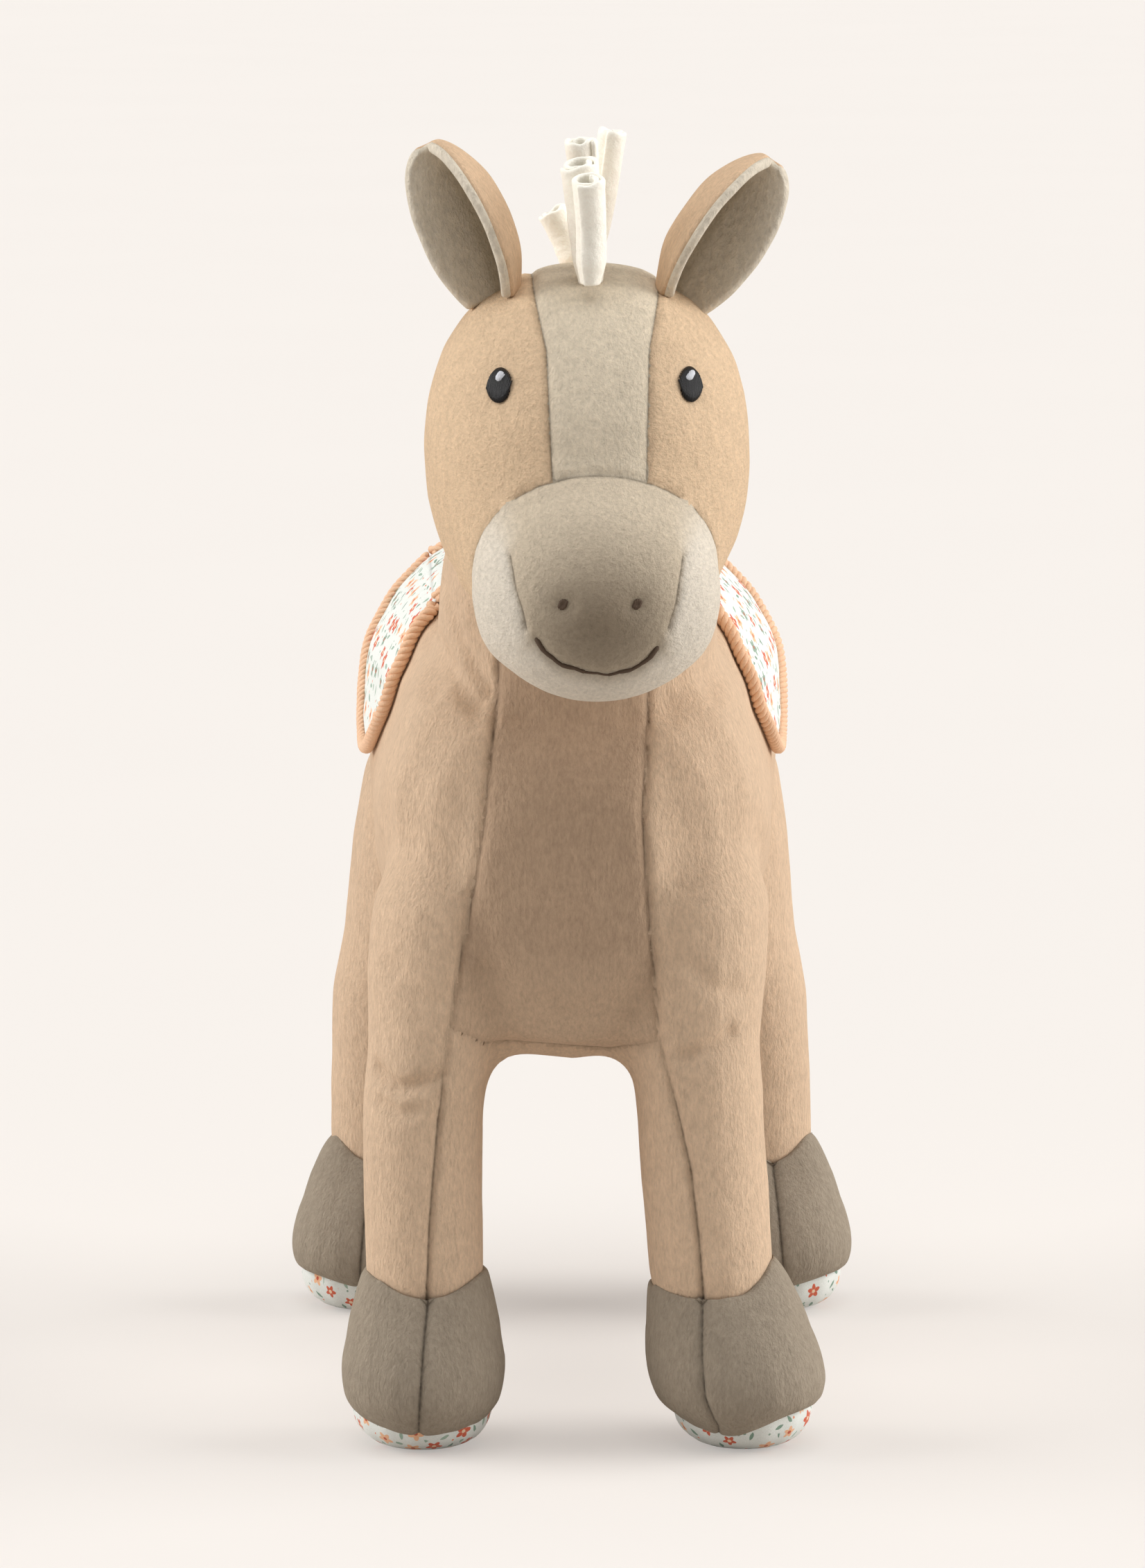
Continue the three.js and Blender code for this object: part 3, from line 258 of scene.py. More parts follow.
def printed_cotton(name):
    """White cotton with a scattered print of small five-petalled flowers, leaves and dots."""
    finish = Finish(name, 0.85, 0.12, None, 0.25)
    place = finish.attribute("flat")

    def scatter(cell, loose, shift):
        """The nearest mark of a print: the way from it, in cells, three picks, and its distance."""
        spot = finish.vector_math("MULTIPLY_ADD", place, (1000 / cell,) * 3, shift)
        marks = finish.node("ShaderNodeTexVoronoi", {"voronoi_dimensions": "2D"},
                            {"Vector": spot, "Scale": 1.0, "Randomness": loose}).outputs
        off = finish.parts(finish.vector_math("SUBTRACT", spot, marks["Position"]))
        picks = finish.node("ShaderNodeSeparateColor", {}, {0: marks["Color"]}).outputs
        return [Wire(finish, s) for s in (*off[:2], *picks[:3], marks["Distance"])]

    def edge(inside, softness):
        return (inside / softness).clamped()

    x, y, pick, turn, size, away = scatter(10.5, 0.62, (3.1, 5.7, 0.0))
    angle = y.math("ARCTAN2", x) + turn * math.tau
    petals = (angle * 5.0).math("COSINE")
    reach = (0.25 + size * 0.09) * (0.8 + petals * 0.2)
    flower = edge(reach - away, 0.02)
    heart = edge(0.085 - away, 0.02)
    vein = edge((angle * 5.0 + math.pi).math("COSINE") - 0.9, 0.1) * edge(away - 0.09, 0.03)

    u, v, leaf_pick, leaf_turn, _, _ = scatter(5.6, 0.8, (7.3, 1.9, 0.0))
    way = leaf_turn * math.tau
    along = u * way.math("COSINE") + v * way.math("SINE")
    across = v * way.math("COSINE") - u * way.math("SINE")
    blade = 0.15 - across.math("ABSOLUTE") - along * along * 0.95
    leaf = edge(blade, 0.03) * (leaf_pick > 0.38) * edge(away - 0.4, 0.02)
    _, _, dot_pick, _, _, dot_away = scatter(4.3, 0.9, (1.3, 8.1, 0.0))
    dot = edge(0.13 - dot_away, 0.03) * (dot_pick > 0.66) * edge(away - 0.42, 0.02) * (1.0 - leaf)

    cloth = finish.mix(finish.noise(place, 60.0), "E4E8E3", "F3F5F0")
    petal = finish.mix(pick > 0.42, "D65F3E", "F6BE94")
    petal = finish.mix(pick > 0.74, petal, "8CA795")
    petal = finish.mix(vein * 0.45, petal, "F3E7DA")
    middle = finish.mix(pick > 0.42, "F7D9B8", "C9553A")
    green = finish.mix(leaf_pick > 0.7, "9DB5A3", "7F9C8A")
    speck = finish.mix(dot_pick > 0.84, "E8946C", "93AA98")
    for share, ink in ((leaf, green), (dot, speck), (flower, petal), (heart, middle)):
        cloth = finish.mix(share, cloth, ink)
    threads = finish.parts(finish.vector_math("MULTIPLY", place, (9000,) * 3))
    warp, weft = (Wire(finish, threads[i]).math("SINE") for i in (0, 1))
    slub = finish.noise(place, 1400.0)
    finish.colour(finish.mix((0.62 - slub).clamped() * 0.5, cloth, "B9B5AB"))
    finish.bump(warp * weft * 0.5 + slub, 0.00012, 0.7)
    return finish.material


def thread(name, code, sheen, roughness):
    """Spun thread or cord: fine fibres in a slightly shiny yarn."""
    finish = Finish(name, roughness, sheen, shade(code, 1.1), 0.35)
    place = finish.place()
    fibres = finish.noise(place, 1900.0, 4.0, 0.65)
    soil = finish.noise(place, 90.0)
    level = ((fibres - 0.5) * 1.2 + (soil - 0.5) * 0.6 + 0.5).clamped()
    finish.colour(finish.mix(level, shade(code, 0.78), shade(code, 1.16)))
    finish.bump(fibres, 0.0003, 0.8)
    return finish.material


# The chest's plain colour and the darker colour of its painted shade
CHEST_PLAIN_AND_SHADE = ("DFC2A5", "BFA389")
# The muzzle's pale colour, partly the cheeks' own plush and partly painted light, and its
# painted-shade colour
MUZZLE_PALE_AND_SHADE_COLOURS = ("E0D6C7", "8C7D6A")
# The ear lining's painted rim light and the painted shade of its hollow
EAR_PAINTED_LIGHT_AND_SHADE = ("E6DBC9", "8A7A64")
FACE_NAP, BLAZE_NAP, LINING_NAP = (800, 360, 800), (800, 360, 520), (620, 620, 360)
peach_plush = plush("peach plush", "DFC2A5", True, pale_and_shaded=CHEST_PLAIN_AND_SHADE)
head_plush = plush("peach plush of the head", "E1C4A3", True, FACE_NAP)
greige_plush = plush("greige plush", "D9CBB5", True, BLAZE_NAP)
muzzle_plush = plush("greige plush of the muzzle", "D3C4AE", True, FACE_NAP, MUZZLE_PALE_AND_SHADE_COLOURS)
taupe_plush = plush("taupe plush", "A39685", True)
ear_plush = plush("peach plush of the ears", "E1C1A0", False)
lining_plush = plush("greige plush of the ears", "D0C2AB", False, LINING_NAP, EAR_PAINTED_LIGHT_AND_SHADE, 0.002)
cream_fleece = fleece("cream fleece", "FFFBF0")
saddle_print = printed_cotton("printed cotton of the saddle")
sole_print = printed_cotton("printed cotton of the soles")
peach_cord = thread("peach cord", "F3C9A6", 0.3, 0.7)
black_thread = thread("black thread", "100E0F", 0.04, 0.3)
grey_thread = thread("grey thread", "D9DBE2", 0.1, 0.4)
brown_thread = thread("brown thread", "584637", 0.1, 0.7)


# Tools for making pieces


def select_only(*objects):
    bpy.ops.object.select_all(action="DESELECT")
    for obj in objects:
        obj.select_set(True)
    bpy.context.view_layer.objects.active = objects[-1]


def new_object(name, mesh):
    obj = bpy.data.objects.new(name, mesh)
    scene.collection.objects.link(obj)
    return obj


def new_mesh(name, verts, faces):
    mesh = bpy.data.meshes.new(name)
    mesh.from_pydata(verts, [], faces)
    return mesh


def grid_mesh(name, verts, columns):
    """A sheet over rows of points, each row as many faces wide as there are columns."""
    wide = columns + 1
    rows = range(0, len(verts) - wide, wide)
    return new_mesh(name, verts, [(a, a + 1, a + wide + 1, a + wide)
                                  for row in rows for a in range(row, row + columns)])


def tube_faces(first, rows, sides):
    """The faces of a tube through rows of points, numbered on from the first, with closed ends."""
    last = first + (rows - 1) * sides
    faces = []
    for row in range(first, last, sides):
        for k in range(sides):
            a, b = row + k, row + (k + 1) % sides
            faces.append((a, b, b + sides, a + sides))
    return faces + [tuple(reversed(range(first, first + sides))), tuple(range(last, last + sides))]


def copy_of(name, *nodes):
    """One new object with the surfaces of these CAD nodes, each merged into closed shells."""
    copies = []
    for node in nodes:
        obj = new_object(name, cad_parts[node].data.copy())
        obj.data.materials.clear()
        select_only(obj)
        bpy.ops.object.mode_set(mode="EDIT")
        bpy.ops.mesh.select_all(action="SELECT")
        bpy.ops.mesh.remove_doubles(threshold=0.00001)
        bpy.ops.object.mode_set(mode="OBJECT")
        copies.append(obj)
    select_only(*copies)
    if len(copies) > 1:
        bpy.ops.object.join()
    return bpy.context.view_layer.objects.active


def apply_modifier(obj, kind, **settings):
    modifier = obj.modifiers.new(kind.lower(), kind)
    for key, value in settings.items():
        setattr(modifier, key, value)
    select_only(obj)
    bpy.ops.object.modifier_apply(modifier=modifier.name)


def fill_out(obj, voxel, closing, grow, smoothing):
    """Remeshes a piece evenly, bridges gaps narrower than twice the closing, and lets it swell."""
    apply_modifier(obj, "DISPLACE", strength=closing, mid_level=0.0)
    apply_modifier(obj, "REMESH", mode="VOXEL", voxel_size=voxel, use_smooth_shade=True)
    apply_modifier(obj, "SMOOTH", factor=0.5, iterations=smoothing)
    apply_modifier(obj, "DISPLACE", strength=grow - closing, mid_level=0.0)
    keep_largest(obj.data)


def islands(near, labels):
    """Lists of neighbours that share a label, smallest first, from what each one lies next to."""
    seen, parts = set(), []
    for start in range(len(near)):
        if start in seen:
            continue
        part, edge = [start], [start]
        seen.add(start)
        while edge:
            here = edge.pop()
            for i in near[here]:
                if i not in seen and labels[i] == labels[here]:
                    seen.add(i)
                    part.append(i)
                    edge.append(i)
        parts.append(part)
    return sorted(parts, key=len)


def keep_largest(mesh):
    """Leaves only the largest joined part of a mesh."""
    near = [[] for _ in mesh.vertices]
    for edge in mesh.edges:
        a, b = edge.vertices
        near[a].append(b)
        near[b].append(a)
    bm = bmesh.new()
    bm.from_mesh(mesh)
    bm.verts.ensure_lookup_table()
    loose = [bm.verts[i] for part in islands(near, [0] * len(near))[:-1] for i in part]
    bmesh.ops.delete(bm, geom=loose, context="VERTS")
    bm.to_mesh(mesh)
    bm.free()


def coordinates(mesh):
    flat = np.zeros(len(mesh.vertices) * 3)
    mesh.vertices.foreach_get("co", flat)
    return flat.reshape(-1, 3)


def normals_of(mesh):
    flat = np.zeros(len(mesh.vertices) * 3)
    mesh.vertex_normals.foreach_get("vector", flat)
    return flat.reshape(-1, 3)


def move_vertices(mesh, points):
    mesh.vertices.foreach_set("co", np.asarray(points, float).ravel())
    mesh.update()


def lumps(points, scale, seed):
    """Soft noise from -1 to 1 at each point, for stuffing that is never quite even."""
    shift = Vector((seed, 2.7 * seed, 1.3 * seed))
    return np.array([noise.noise(Vector(p) * scale + shift) for p in points])


def remember(mesh, name, values):
    """Keeps a number or a vector for each vertex, for the materials to read."""
    vector = np.ndim(values) == 2
    kind = "FLOAT_VECTOR" if vector else "FLOAT"
    layer = mesh.attributes.get(name) or mesh.attributes.new(name, kind, "POINT")
    layer.data.foreach_set("vector" if vector else "value", np.asarray(values, np.float32).ravel())


def finished(obj, material, slot, body=None, node=None):
    """Gives a piece its material, smooth shading and, where told, the body it rides on, and hides
    its CAD node; slot is not used.
    """
    obj.data.materials.clear()
    obj.data.materials.append(material)
    select_only(obj)
    bpy.ops.object.shade_smooth()
    if body:
        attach(obj, body)
    if node:
        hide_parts(node)
    return obj


def smooth_line(points, count):
    """A Catmull-Rom line through points, at count even steps of its length."""
    points = [np.asarray(p, float) for p in points]
    ends = [2 * points[0] - points[1]] + points + [2 * points[-1] - points[-2]]
    line = []
    for i in range(1, len(ends) - 2):
        before, start, end, after = ends[i - 1 : i + 3]
        for step in np.linspace(0, 1, 12, endpoint=False):
            line.append((2 * start + (end - before) * step
                         + (2 * before - 5 * start + 4 * end - after) * step**2
                         + (3 * start - before - 3 * end + after) * step**3) / 2)
    line.append(points[-1])
    line = np.array(line)
    run = np.concatenate([[0], np.cumsum(np.linalg.norm(np.diff(line, axis=0), axis=1))])
    even = np.linspace(0, run[-1], count)
    return np.stack([np.interp(even, run, line[:, i]) for i in range(line.shape[1])], axis=1)


def frames(line, up=None):
    """At each point of a line: the point, the way the line runs, and two directions across it."""
    for i, point in enumerate(line):
        run = (line[min(i + 1, len(line) - 1)] - line[max(i - 1, 0)]).normalized()
        up = run.orthogonal() if up is None else (up - run * up.dot(run)).normalized()
        yield point, run, up, run.cross(up)


def tubes(name, lines, radii, sides=8):
    """One mesh of closed round tubes, each along its own line of points."""
    verts, faces = [], []
    for line, radius in zip(lines, radii):
        faces += tube_faces(len(verts), len(line), sides)
        for i, (point, _, up, over) in enumerate(frames([Vector(p) for p in line])):
            here = radius[i] if hasattr(radius, "__len__") else radius
            for k in range(sides):
                turn = 2 * math.pi * k / sides
                verts.append(point + (up * math.cos(turn) + over * math.sin(turn)) * here)
    return new_object(name, new_mesh(name, verts, faces))


# The plush skin: one surface over torso, neck, head and legs, cut into its sewn panels later

LEGS = ("front_left", "front_right", "hind_left", "hind_right")
FACE_NODES = ("head", "blaze", "muzzle_center", "cheek_left", "cheek_right")
trees = {}
for node in FACE_NODES:
    sample = copy_of("sample", node)
    trees[node] = BVHTree.FromObject(sample, bpy.context.evaluated_depsgraph_get())
    bpy.data.objects.remove(sample)

skin = copy_of("skin", "torso", "chest_panel", "neck", *FACE_NODES, *(f"leg_{leg}" for leg in LEGS))
fill_out(skin, 0.0032, 0.006, 0.0009, 8)
apply_modifier(skin, "SUBSURF", levels=1, render_levels=1)

# Directions along which the neck, over the withers, and the head, behind the jaw, begin to turn,
# how far along them each bend starts and ends, and the heights between which a leg bends
NECK_WAY = np.array((0, -0.607, 0.795))
NECK_START, NECK_END = 268.2, 303.0
HEAD_WAY = np.array((0, -0.736, 0.677))
HEAD_START, HEAD_END = 287.3, 307.0
LEG_START, LEG_END = 134.0, 92.0

# Seam lines of the front, as height and place across, from the jaw down to the hooves
CHEST_SEAMS = {
    "left": ((269, 26.9), (257, 26.3), (226, 24.4), (190, 26.4), (147, 29.6),
             (124, 35.4), (103, 40.5), (76, 43.7), (56, 45.2), (39, 44.4), (23, 45.2), (10, 49)),
    "right": ((281, -25.9), (257, -27.0), (226, -30.6), (184, -36.9), (150, -42.8),
              (115, -46.5), (84, -49.2), (56, -50.5), (39, -51.7), (9, -53.6)),
}
# The chest panel's lower edge, as place across and height, its top, and how far back it reaches
CHEST_HEM = ((-41.4, 150.3), (-29.9, 143.5), (-6.0, 142.0), (12.7, 139.8), (29.7, 145.7))
CHEST_TOP, CHEST_REAR = 283, -98

# Edges of the blaze and seams of the cheeks, as height and place across
BLAZE_LEFT = ((413, 31), (389, 26), (349, 25))
BLAZE_RIGHT = ((413, -15), (389, -9), (349, -7))
BLAZE_BACK = -94
CHEEK_LEFT = ((345, 39), (330, 38), (310, 35), (302, 32.5), (288, 30), (268, 29))
CHEEK_RIGHT = ((345, -22.5), (326, -21.5), (316, -19.5), (306, -16.5), (290, -14), (268, -13))
CHEEK_SEAM_END, CHEEK_SEAM_TOP = 301, 325
# The mouth, as place across and height
MOUTH_LINE = ((-12, 298), (-8, 293), (-2, 289), (11, 286), (22, 289), (28, 295))
# Where these stand among the face's nodes
BLAZE, MUZZLE, CHEEKS = 1, 2, (3, 4)


def across(line, places):
    """A line's second number, where its first number is as given."""
    rows = np.array(sorted(line))
    return np.interp(places, rows[:, 0], rows[:, 1])


def soft_step(values):
    values = np.clip(values, 0, 1)
    return values * values * (3 - 2 * values)


def face_fields(points):
    """How far each point is from each panel of the face, in millimetres."""
    metres = (points + PATTERN_SHIFT) / 1000
    away = np.array([[trees[node].find_nearest(Vector(p))[3] * 1000 for node in FACE_NODES]
                     for p in metres])
    x, y, z = points.T
    past = np.max([x - across(BLAZE_LEFT, z), across(BLAZE_RIGHT, z) - x, y - BLAZE_BACK], axis=0)
    upper, lower = away[:, :MUZZLE].min(axis=1), away[:, MUZZLE:].min(axis=1)
    out_left, out_right = x - across(CHEEK_LEFT, z), across(CHEEK_RIGHT, z) - x
    middle = np.max([out_left, out_right], axis=0)
    more = [-past, past, middle, -out_left, -out_right]
    return np.stack([upper, upper, lower, lower, lower], axis=1) + np.array(more).T.clip(0)


def muzzle_pale_and_shade(points):
    """How pale the muzzle's plush is at each point, and how dark, from 0 to 1: pale at the cheeks,
    partly their own paler plush and partly painted light, painted light at the chin, painted shade
    in the middle.
    """
    x, _, z = points.T
    inside = np.minimum(across(CHEEK_LEFT, z) - x, x - across(CHEEK_RIGHT, z))
    loose = 1.0 + 9 * soft_step((CHEEK_SEAM_END + 6 - z) / 14)
    loose += 12 * soft_step((z - CHEEK_SEAM_TOP + 4) / 12)
    sides = 1 - soft_step(inside / loose + 0.5)
    sides *= 1 - 0.6 * soft_step((z - CHEEK_SEAM_TOP) / 18)
    # Painted light under the mouth, at the chin
    chin = 1 - soft_step((z - across(MOUTH_LINE, x) + 7) / 9)
    # Painted shade, darkest in the middle of the muzzle's front
    dark = np.exp(-(((x - 10) / 27) ** 2) - ((z - 303) / 24) ** 2)
    return np.stack([np.maximum(sides, chin), dark * 0.95, 0 * x], axis=1)


def chest_painted_shade(points):
    """Painted shade on the front of the chest and neck between the chest seams, less of it low down
    at the hem.
    """
    x, y, z = points.T
    inside = np.minimum(across(CHEST_SEAMS["left"], z) - x, x - across(CHEST_SEAMS["right"], z))
    dark = soft_step(inside + 1) * soft_step((-80 - y) / 18)
    dark *= 1 - 0.55 * soft_step((185 - z) / 35)
    return np.stack([0 * x, dark, 0 * x], axis=1)


def panel_field(index):
    """A field below zero where this panel of the face is nearer than the others."""
    def field(points):
        away = face_fields(points)
        return away[:, index] - np.delete(away, index, axis=1).min(axis=1)
    return field


def on_head(points):
    return points @ HEAD_WAY > HEAD_START


def chest_side(name):
    return lambda points: points[:, 0] - across(CHEST_SEAMS[name], points[:, 2])


def chest_front(points):
    return (points[:, 2] < CHEST_TOP) & (points[:, 1] < CHEST_REAR) & ~on_head(points)


def between_seams(points):
    """True in front of the chest panel's rear limit and between its two side seams."""
    return (chest_side("left")(points) < 0) & (chest_side("right")(points) > 0) & (
        points[:, 1] < CHEST_REAR)


# Each cut: its field, zero on the line, where it runs, and how deep and wide its groove is
CUTS = [
    (lambda p: p @ NECK_WAY - NECK_START, lambda p: p[:, 2] > 150, 0.0, 1.0),
    (lambda p: p @ HEAD_WAY - HEAD_START, lambda p: p[:, 2] > 200, 0.0, 1.0),
    (lambda p: p[:, 2] - LEG_START, lambda p: p[:, 2] < LEG_START + 6, 0.0, 1.0),
    (chest_side("left"), lambda p: chest_front(p) & (p[:, 0] > 0), 1.4, 2.0),
    (chest_side("right"), lambda p: chest_front(p) & (p[:, 0] < 0), 1.4, 2.0),
    (lambda p: p[:, 2] - across(CHEST_HEM, p[:, 0]),
     lambda p: between_seams(p) & (p[:, 2] < 160), 1.4, 2.4),
    (lambda p: p[:, 0] - 2.0 * (p[:, 2] > 320),
     lambda p: (p[:, 1] > -78) & (p[:, 2] > 150), 1.1, 2.0),
    (panel_field(BLAZE), on_head, 0.9, 1.6),
    (panel_field(MUZZLE), on_head, 1.1, 1.8),
    (panel_field(CHEEKS[0]), on_head, 0.7, 1.5),
    (panel_field(CHEEKS[1]), on_head, 0.7, 1.5),
]


def seam_cut(mesh, field, active):
    """Cuts the mesh along the field's zero line and returns the places on that line.

    Points and faces are kept in dictionaries, which hold their order in every run.
    """
    points = to_pattern(coordinates(mesh))
    chosen = active(points)
    values = np.full(len(points), np.nan)
    values[chosen] = field(points[chosen])
    bm = bmesh.new()
    bm.from_mesh(mesh)
    bm.verts.ensure_lookup_table()
    zero = {}
    crossing = [e for e in bm.edges
                if values[e.verts[0].index] * values[e.verts[1].index] < 0]
    for e in crossing:
        a, b = e.verts
        if a in zero or b in zero:
            continue
        share = values[a.index] / (values[a.index] - values[b.index])
        for near, far, part in ((a, b, share), (b, a, 1 - share)):
            if part < 0.22 and near not in zero:
                near.co = near.co.lerp(far.co, part)
                values[near.index] = 0
                zero[near] = True
                break
    faces = {}
    for e in crossing:
        a, b = e.verts
        if a in zero or b in zero:
            continue
        share = values[a.index] / (values[a.index] - values[b.index])
        _, middle = bmesh.utils.edge_split(e, a, share)
        zero[middle] = True
    for vert in zero:
        faces.update(dict.fromkeys(vert.link_faces))
    for face in faces:
        on_line = [v for v in face.verts if v in zero]
        if len(on_line) == 2:
            a, b = on_line
            if not any(b in e.verts for e in a.link_edges if face in e.link_faces):
                bmesh.utils.face_split(face, a, b)
    places = [v.co.copy() for v in zero]
    bm.to_mesh(mesh)
    bm.free()
    return places


def off_cheek_seams(place):
    """True where the plush of a cheek runs on into the muzzle, with no seam to be seen."""
    spot = to_pattern(place)
    x, _, z = spot
    near = min(abs(x - across(CHEEK_LEFT, z)), abs(x - across(CHEEK_RIGHT, z)))
    return on_head(spot) and near < 2.5 and not CHEEK_SEAM_END < z < CHEEK_SEAM_TOP


# The cuts are made one after another, and the grooves go where a seam shows
grooves = []
for field, active, depth, width in CUTS:
    places = seam_cut(skin.data, field, active)
    if depth:
        grooves.append(([p for p in places if not off_cheek_seams(p)], depth, width, 1.0))

# The stuffing's fullness: hollow shoulders before the saddle, narrower sides below, a short chin,
# and uneven swelling
points = to_pattern(coordinates(skin.data))
x, y, z = points.T.copy()
hollow = 6.5 * np.exp(-(((y + 55) / 44) ** 2) - ((z - 262) / 32) ** 2) * soft_step(abs(x) / 45)
flank = soft_step(abs(x) / 60) * soft_step((262 - z) / 20) * soft_step((z - 118) / 30)
points[:, 0] -= np.sign(x) * hollow
points[:, 0] -= np.sign(x) * 1.8 * flank
points[:, 2] += 4.0 * soft_step((298 - z) / 24) * soft_step((-150 - y) / 20)
swell = 0.32 * lumps(points / 1000, 34, 1.0) + 0.16 * lumps(points / 1000, 95, 2.0)
move_vertices(skin.data, (points + PATTERN_SHIFT) / 1000)
swollen = coordinates(skin.data) + normals_of(skin.data) * (swell / 1000)[:, None]
move_vertices(skin.data, swollen)
skin_tree = BVHTree.FromObject(skin, bpy.context.evaluated_depsgraph_get())


def on_face(x, z, lift=0.0):
    """A place on the plush as it is met from the front, in metres, lifted off it."""
    hit, normal, _, _ = skin_tree.ray_cast(Vector((x, -1.0, z)), Vector((0, 1, 0)))
    return hit + normal * lift if hit else None


def on_plush(x, z, lift=0.0):
    """The same from a place that is given in the pattern's millimetres."""
    spot = at(x, 0, z)
    return on_face(spot.x, spot.z, lift)


def crease(line, depth, width, mark):
    """A dent along a line that is given as it is seen from the front, where it meets the plush."""
    places = [on_plush(x, z) for x, z in smooth_line(line, 50)]
    return [place for place in places if place], depth, width, mark


# Soft folds of neck, shoulders and legs, then the dents that stitches draw in: each line as place
# across and height, its depth and width in millimetres, and how dark its painted shade is
CREASES = (
    (((-47, 303), (-42, 291), (-36, 278), (-29, 267)), 2.8, 3.4, 0.1),
    (((-52, 290), (-46, 279), (-38, 267), (-33, 262)), 2.0, 3.6, 0.1),
    (((48, 298), (44, 287), (37, 275)), 2.0, 3.6, 0.1),
    (((-68, 135), (-61, 130), (-51, 132), (-45, 135)), 3.4, 3.0, 0.15),
    (((-66, 124), (-60, 121), (-54, 122)), 2.0, 2.8, 0.14),
    (((38, 141), (46, 144), (55, 149)), 2.8, 3.0, 0.14),
    (((-62, 172), (-54, 164), (-47, 160)), 1.4, 4.0, 0.05),
    (((42, 172), (50, 165), (59, 163)), 1.4, 4.0, 0.05),
    (MOUTH_LINE, 1.3, 2.2, 0.3),
    (((-3.6, 310), (-2.8, 310)), 1.8, 4.0, 0.35),
    (((20.8, 310), (21.6, 310)), 1.8, 4.0, 0.35),
    (((-24, 375), (-24, 379)), 0.8, 7.0, 0.0),
    (((39, 375), (39, 379)), 0.8, 7.0, 0.0),
)
grooves += [crease(*row) for row in CREASES]

# How far apart the stitches of a seam are, in metres, and how far from it a groove may reach
STITCH, SEAM_REACH = 0.0042, 0.0045


def press_grooves(mesh, grooves):
    """Draws the surface in along its seams, with a pucker at each stitch, and marks them as darker:
    partly the parted nap's own colour, partly painted shade in the groove.
    """
    points = coordinates(mesh)
    normals = normals_of(mesh)
    marks = np.zeros(len(points))
    gaps = np.full(len(points), 9.0)
    sink = np.zeros(len(points))
    for places, depth, width, mark in grooves:
        reach = max(width * 0.0028, SEAM_REACH)
        tree = KDTree(len(places))
        for i, place in enumerate(places):
            tree.insert(place, i)
        tree.balance()
        low, high = np.min(places, axis=0) - reach, np.max(places, axis=0) + reach
        for i in np.flatnonzero(((points > low) & (points < high)).all(axis=1)):
            _, _, away = tree.find(Vector(points[i]))
            if away < reach:
                share = math.exp(-((away * 1000 / width) ** 2))
                tight = math.exp(-((away * 1000 / 0.75) ** 2))
                sink[i] = max(sink[i], depth * (0.75 * share + 0.4 * tight * mark))
                if away * 1000 < gaps[i] and mark > 0.15:
                    gaps[i] = away * 1000
                marks[i] = max(marks[i], mark)
    pull = 1 + 0.25 * lumps(points, 1 / STITCH, 4.0)
    move_vertices(mesh, points - normals * (sink * pull / 1000)[:, None])
    remember(mesh, "away", gaps)
    remember(mesh, "mark", marks)


press_grooves(skin.data, grooves)
skin_tree = BVHTree.FromObject(skin, bpy.context.evaluated_depsgraph_get())

# The panels of the skin: name, material, slot, CAD node, and the body that each rides on, or the
# two between which it lies, a direction, and where along it a bend would start and end; those
# panels ride on neither and do not bend
PANELS = {
    "torso_skin": (peach_plush, "peach_plush", "torso", ("torso",)),
    "chest_skin": (peach_plush, "peach_plush", "chest_panel", ("torso",)),
    "neck_skin": (peach_plush, "peach_plush", "neck",
                  ("torso", "neck", NECK_WAY, NECK_START, NECK_END)),
    "head_skin": (head_plush, "peach_plush", "head",
                  ("neck", "head", HEAD_WAY, HEAD_START, HEAD_END)),
    "blaze_skin": (greige_plush, "greige_plush", "blaze", ("head",)),
    "muzzle_skin": (muzzle_plush, "greige_plush", "muzzle_center", ("head",)),
    "cheek_left_skin": (muzzle_plush, "pale_plush", "cheek_left", ("head",)),
    "cheek_right_skin": (muzzle_plush, "pale_plush", "cheek_right", ("head",)),
}
for leg in LEGS:
    turn = ("torso", f"leg_{leg}", np.array((0, 0, -1.0)), -LEG_START, -LEG_END)
    PANELS[f"leg_{leg}_skin"] = (peach_plush, "peach_plush", f"leg_{leg}", turn)
PANEL_NAMES = list(PANELS)


def panel_at(centres):
    """Which panel each face belongs to, by its middle."""
    x, y, z = centres.T
    label = np.zeros(len(centres), int)
    label[between_seams(centres) & (z > across(CHEST_HEM, x))] = PANEL_NAMES.index("chest_skin")
    label[centres @ NECK_WAY > NECK_START] = PANEL_NAMES.index("neck_skin")
    head = on_head(centres)
    first = PANEL_NAMES.index("head_skin")
    label[head] = first + face_fields(centres[head]).argmin(axis=1)
    low = z < LEG_START
    side = np.where(x > 0, 0, 1) + np.where(y < 0, 0, 2)
    label[low] = PANEL_NAMES.index("leg_front_left_skin") + side[low]
    return label


def settled(polygons, labels):
    """Gives each small island of faces to the panel around it."""
    sides = {}
    for i, p in enumerate(polygons):
        for a, b in zip(p, p[1:] + p[:1]):
            sides.setdefault((min(a, b), max(a, b)), []).append(i)
    near = [[] for _ in polygons]
    for pair in sides.values():
        if len(pair) == 2:
            near[pair[0]].append(pair[1])
            near[pair[1]].append(pair[0])
    parts = islands(near, labels)
    biggest = {labels[part[0]]: len(part) for part in parts}
    for part in parts:
        if len(part) < biggest[labels[part[0]]]:
            around = Counter(labels[j] for i in part for j in near[i] if labels[j] != labels[i])
            labels[part] = around.most_common(1)[0][0]
    return labels


# How far a cap's middle lies inside the stuffing, in metres, where its edge faces one way
CAP_DEPTH = 0.018


